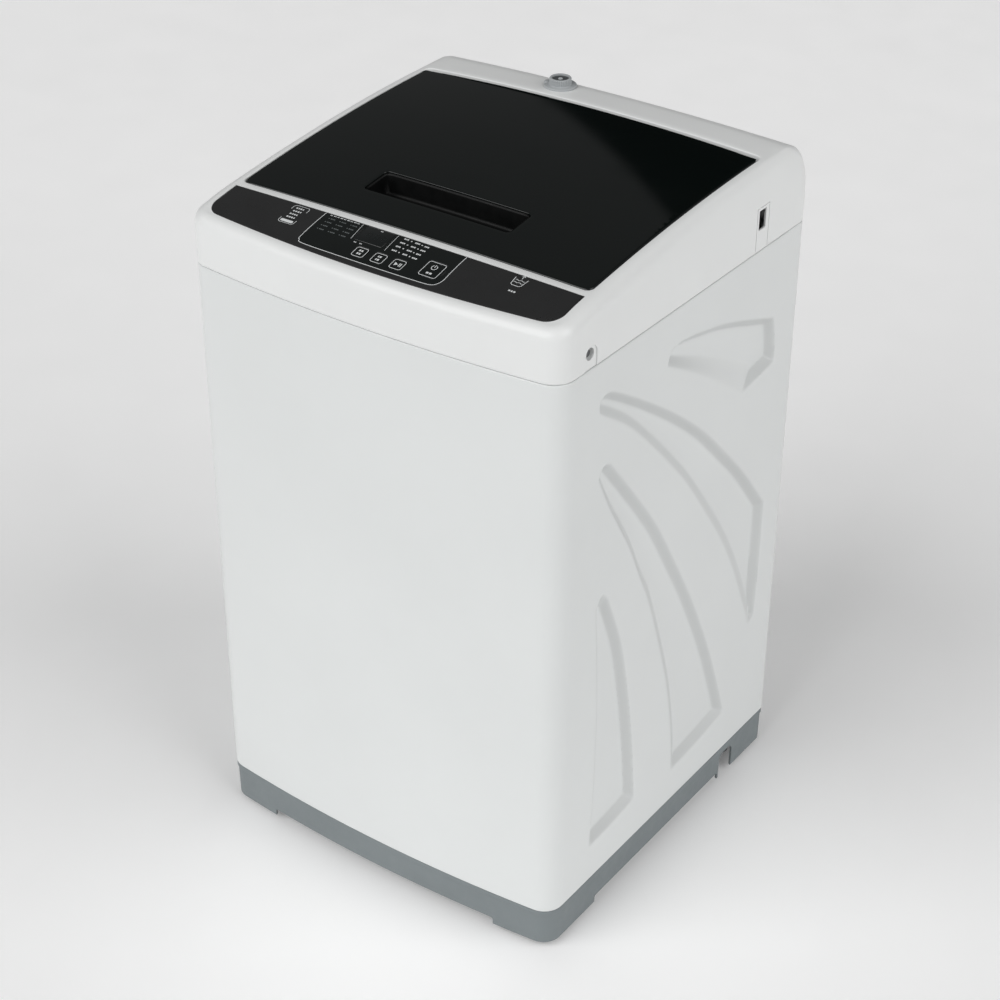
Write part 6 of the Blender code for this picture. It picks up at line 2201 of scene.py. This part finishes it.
def drum_base_and_ring():
    """The moulded basket base with ribs under it, and the balance ring with its six plugs."""
    top = 0.2835
    base = [
        (0.0175, 0.2705), (0.0175, 0.1450), (0.0115, 0.1450), (0.0115, 0.2840), (0.0300, 0.2840),
        (0.1500, 0.2760),
        (0.1720, top, 0.008), (0.1900, top), (0.1920, top - 0.001), (0.1860, 0.2620), (0.1500, 0.2620),
    ]
    lathe("drum_base", base, TUB, "basket", ["basket_base"], radius=0.002, steps=120)
    bm = bmesh.new()
    add_fins(bm, 12, 0, (0.0400, 0.2640, 0.2700), (0.1500, 0.2600, 0.2640), 0.0012)
    new_piece("drum_base_ribs", bm, TUB, "basket")
    ring = [
        (0.1680, 0.6660), (0.1710, 0.6850, 0.005), (0.1770, 0.6880, 0.004), (0.1990, 0.6880, 0.005),
        (0.2050, 0.6820, 0.003), (0.2040, 0.6603), (0.1720, 0.6603),
    ]

    def seams(angle, radius, z):
        if z > 0.6868:
            z -= 0.0007 * math.exp(-(((angle * 6 / math.pi + 0.5) % 1 - 0.5) / 0.03) ** 2)
        return radius, z

    lathe("liquid_balance_ring", ring, RING, "basket", ["balance_ring"], radius=0.002, steps=240, wave=seams)
    bm = bmesh.new()
    add_screws(bm, around_z(6, 0.1880, 0.6879, math.radians(15)), (0, 0, 1), 0.0032, 0.0008)
    new_piece("ring_plugs", bm, PALE_GREY, "basket", slot="tub_plastic")


def lint_pocket():
    """A clip-on frame with a fine grille."""
    low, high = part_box("lint_filter")
    back = high.y
    frame_boxes = [
        ((low.x, low.y, low.z), (low.x + 0.005, back, high.z)),
        ((high.x - 0.005, low.y, low.z), (high.x, back, high.z)),
        ((low.x, low.y, low.z), (high.x, back, low.z + 0.006)),
        ((low.x, low.y, high.z - 0.006), (high.x, back, high.z)),
        ((low.x + 0.004, back - 0.003, low.z + 0.004), (high.x - 0.004, back, high.z - 0.004)),
    ]
    block("lint_frame", frame_boxes, WHITE, "basket", ["lint_filter"], 0.0009)
    bars, half_bar = [], 0.0006
    for x in spaced(low.x + 0.0085, high.x - 0.0085, 10):
        foot = (x - half_bar, low.y + 0.0015, low.z + 0.005)
        bars.append((foot, (x + half_bar, low.y + 0.0030, high.z - 0.005)))
    for z in spaced(low.z + 0.016, high.z - 0.016, 11):
        start = (low.x + 0.004, low.y + 0.0018, z - half_bar)
        bars.append((start, (high.x - 0.004, low.y + 0.0034, z + half_bar)))
    block("lint_grille", bars, BLUE, "basket", bevel=0.0002)


PLATE_RADIUS = 0.158
PLATE_TOP = (
    (0.0, 0.3060), (0.022, 0.3060), (0.030, 0.3108), (0.040, 0.3100), (0.090, 0.3020), (0.140, 0.2960),
    (PLATE_RADIUS, 0.2920),
)


def plate_dome(r):
    """Height of the pulsator between its blades; half straight, half eased from knot to knot."""
    for (r0, z0), (r1, z1) in zip(PLATE_TOP, PLATE_TOP[1:]):
        if r <= r1:
            t = (r - r0) / (r1 - r0)
            return z0 + (z1 - z0) * (0.5 * ease(t) + 0.5 * t)
    return PLATE_TOP[-1][1]


def plate_height(r, angle):
    """Height of the pulsator with its blades and water holes."""
    lift = 0.0
    for i in range(4):
        middle = math.radians(90 * i + 20) + 0.1575 * (r - 0.09) / 0.06
        across = ((angle - middle + math.pi) % (2 * math.pi) - math.pi) * r / 0.0200
        along = (r - 0.092) / 0.062
        span = math.sqrt(max(0.0, 1 - along * along))
        if abs(across) < span:
            lift = max(lift, 0.0225 * span * ease(1 - abs(across) / span) ** 0.8)
    hole = 0.0
    for ring, count in ((0.060, 16), (0.080, 20), (0.105, 28), (0.125, 32)):
        step = 2 * math.pi / count
        off = ((angle + step / 2) % step - step / 2) * ring
        hole = max(hole, ease((0.0030 - math.hypot(off, r - ring)) / 0.0014))
    return plate_dome(r) + lift - (0.0016 * hole if lift < 0.0004 else 0.0)


def wash_plate():
    """The pulsator: a shallow dome whose four swept blades rise out of it, with rows of water holes."""
    turns = spaced(0, 2 * math.pi, 288)[:-1]
    radii = [0.010, 0.020, 0.0225, 0.025, 0.0275, 0.030] + spaced(0.032, 0.1565, 92)
    rows = [[(r * math.cos(a), r * math.sin(a), plate_height(r, a)) for a in turns] for r in radii]
    rim = [(0.1578, 0.2915), (PLATE_RADIUS, 0.2905), (PLATE_RADIUS, 0.2886)]
    under = [*rim, (0.1575, 0.2880), (0.020, 0.2880)]
    for r, z in under:
        rows.append([(r * math.cos(a), r * math.sin(a), z) for a in turns])
    bm = bmesh.new()
    grid = add_grid(bm, rows, around=True, cap=True)
    bm.faces.new(grid[0])
    new_piece("wash_plate", bm, BLUE, "pulsator", ["pulsator"], 50)
    cap = [(0, 0.3165), (0.0120, 0.3155, 0.003), (0.0200, 0.3120, 0.003), (0.0212, 0.3095), (0.0212, 0.3064)]
    lathe("wash_plate_cap", [*cap, (0, 0.3064)], WHITE, "pulsator", ["pulsator_cap"], radius=0.0006)
    shaft = [(0, 0.2876), (0.0092, 0.2876), (0.0100, 0.2868), (0.0100, 0.1568), (0.0092, 0.1560), (0, 0.1560)]
    turned_piece("spindle", shaft, STAINLESS, "pulsator", ["wash_shaft"], steps=48)


BUILDERS = (
    look_from, studio, cabinet_wrap, hanger_plates, top_moulding, screw_wells, side_screws, control_panel,
    control_zone, panel_print, dim_print, push_buttons, display_window, control_electronics, lid_cover,
    lid_pocket,
    lid_lining, hinge_pins, lid_bumpers, inlet, water_duct, electrics, base_skirt, feet, rear_sheet,
    suspension,
    hose, tub_and_cover, drive, drain, drum_wall, drum_base_and_ring, lint_pocket, wash_plate,
)
for build in BUILDERS:
    build()
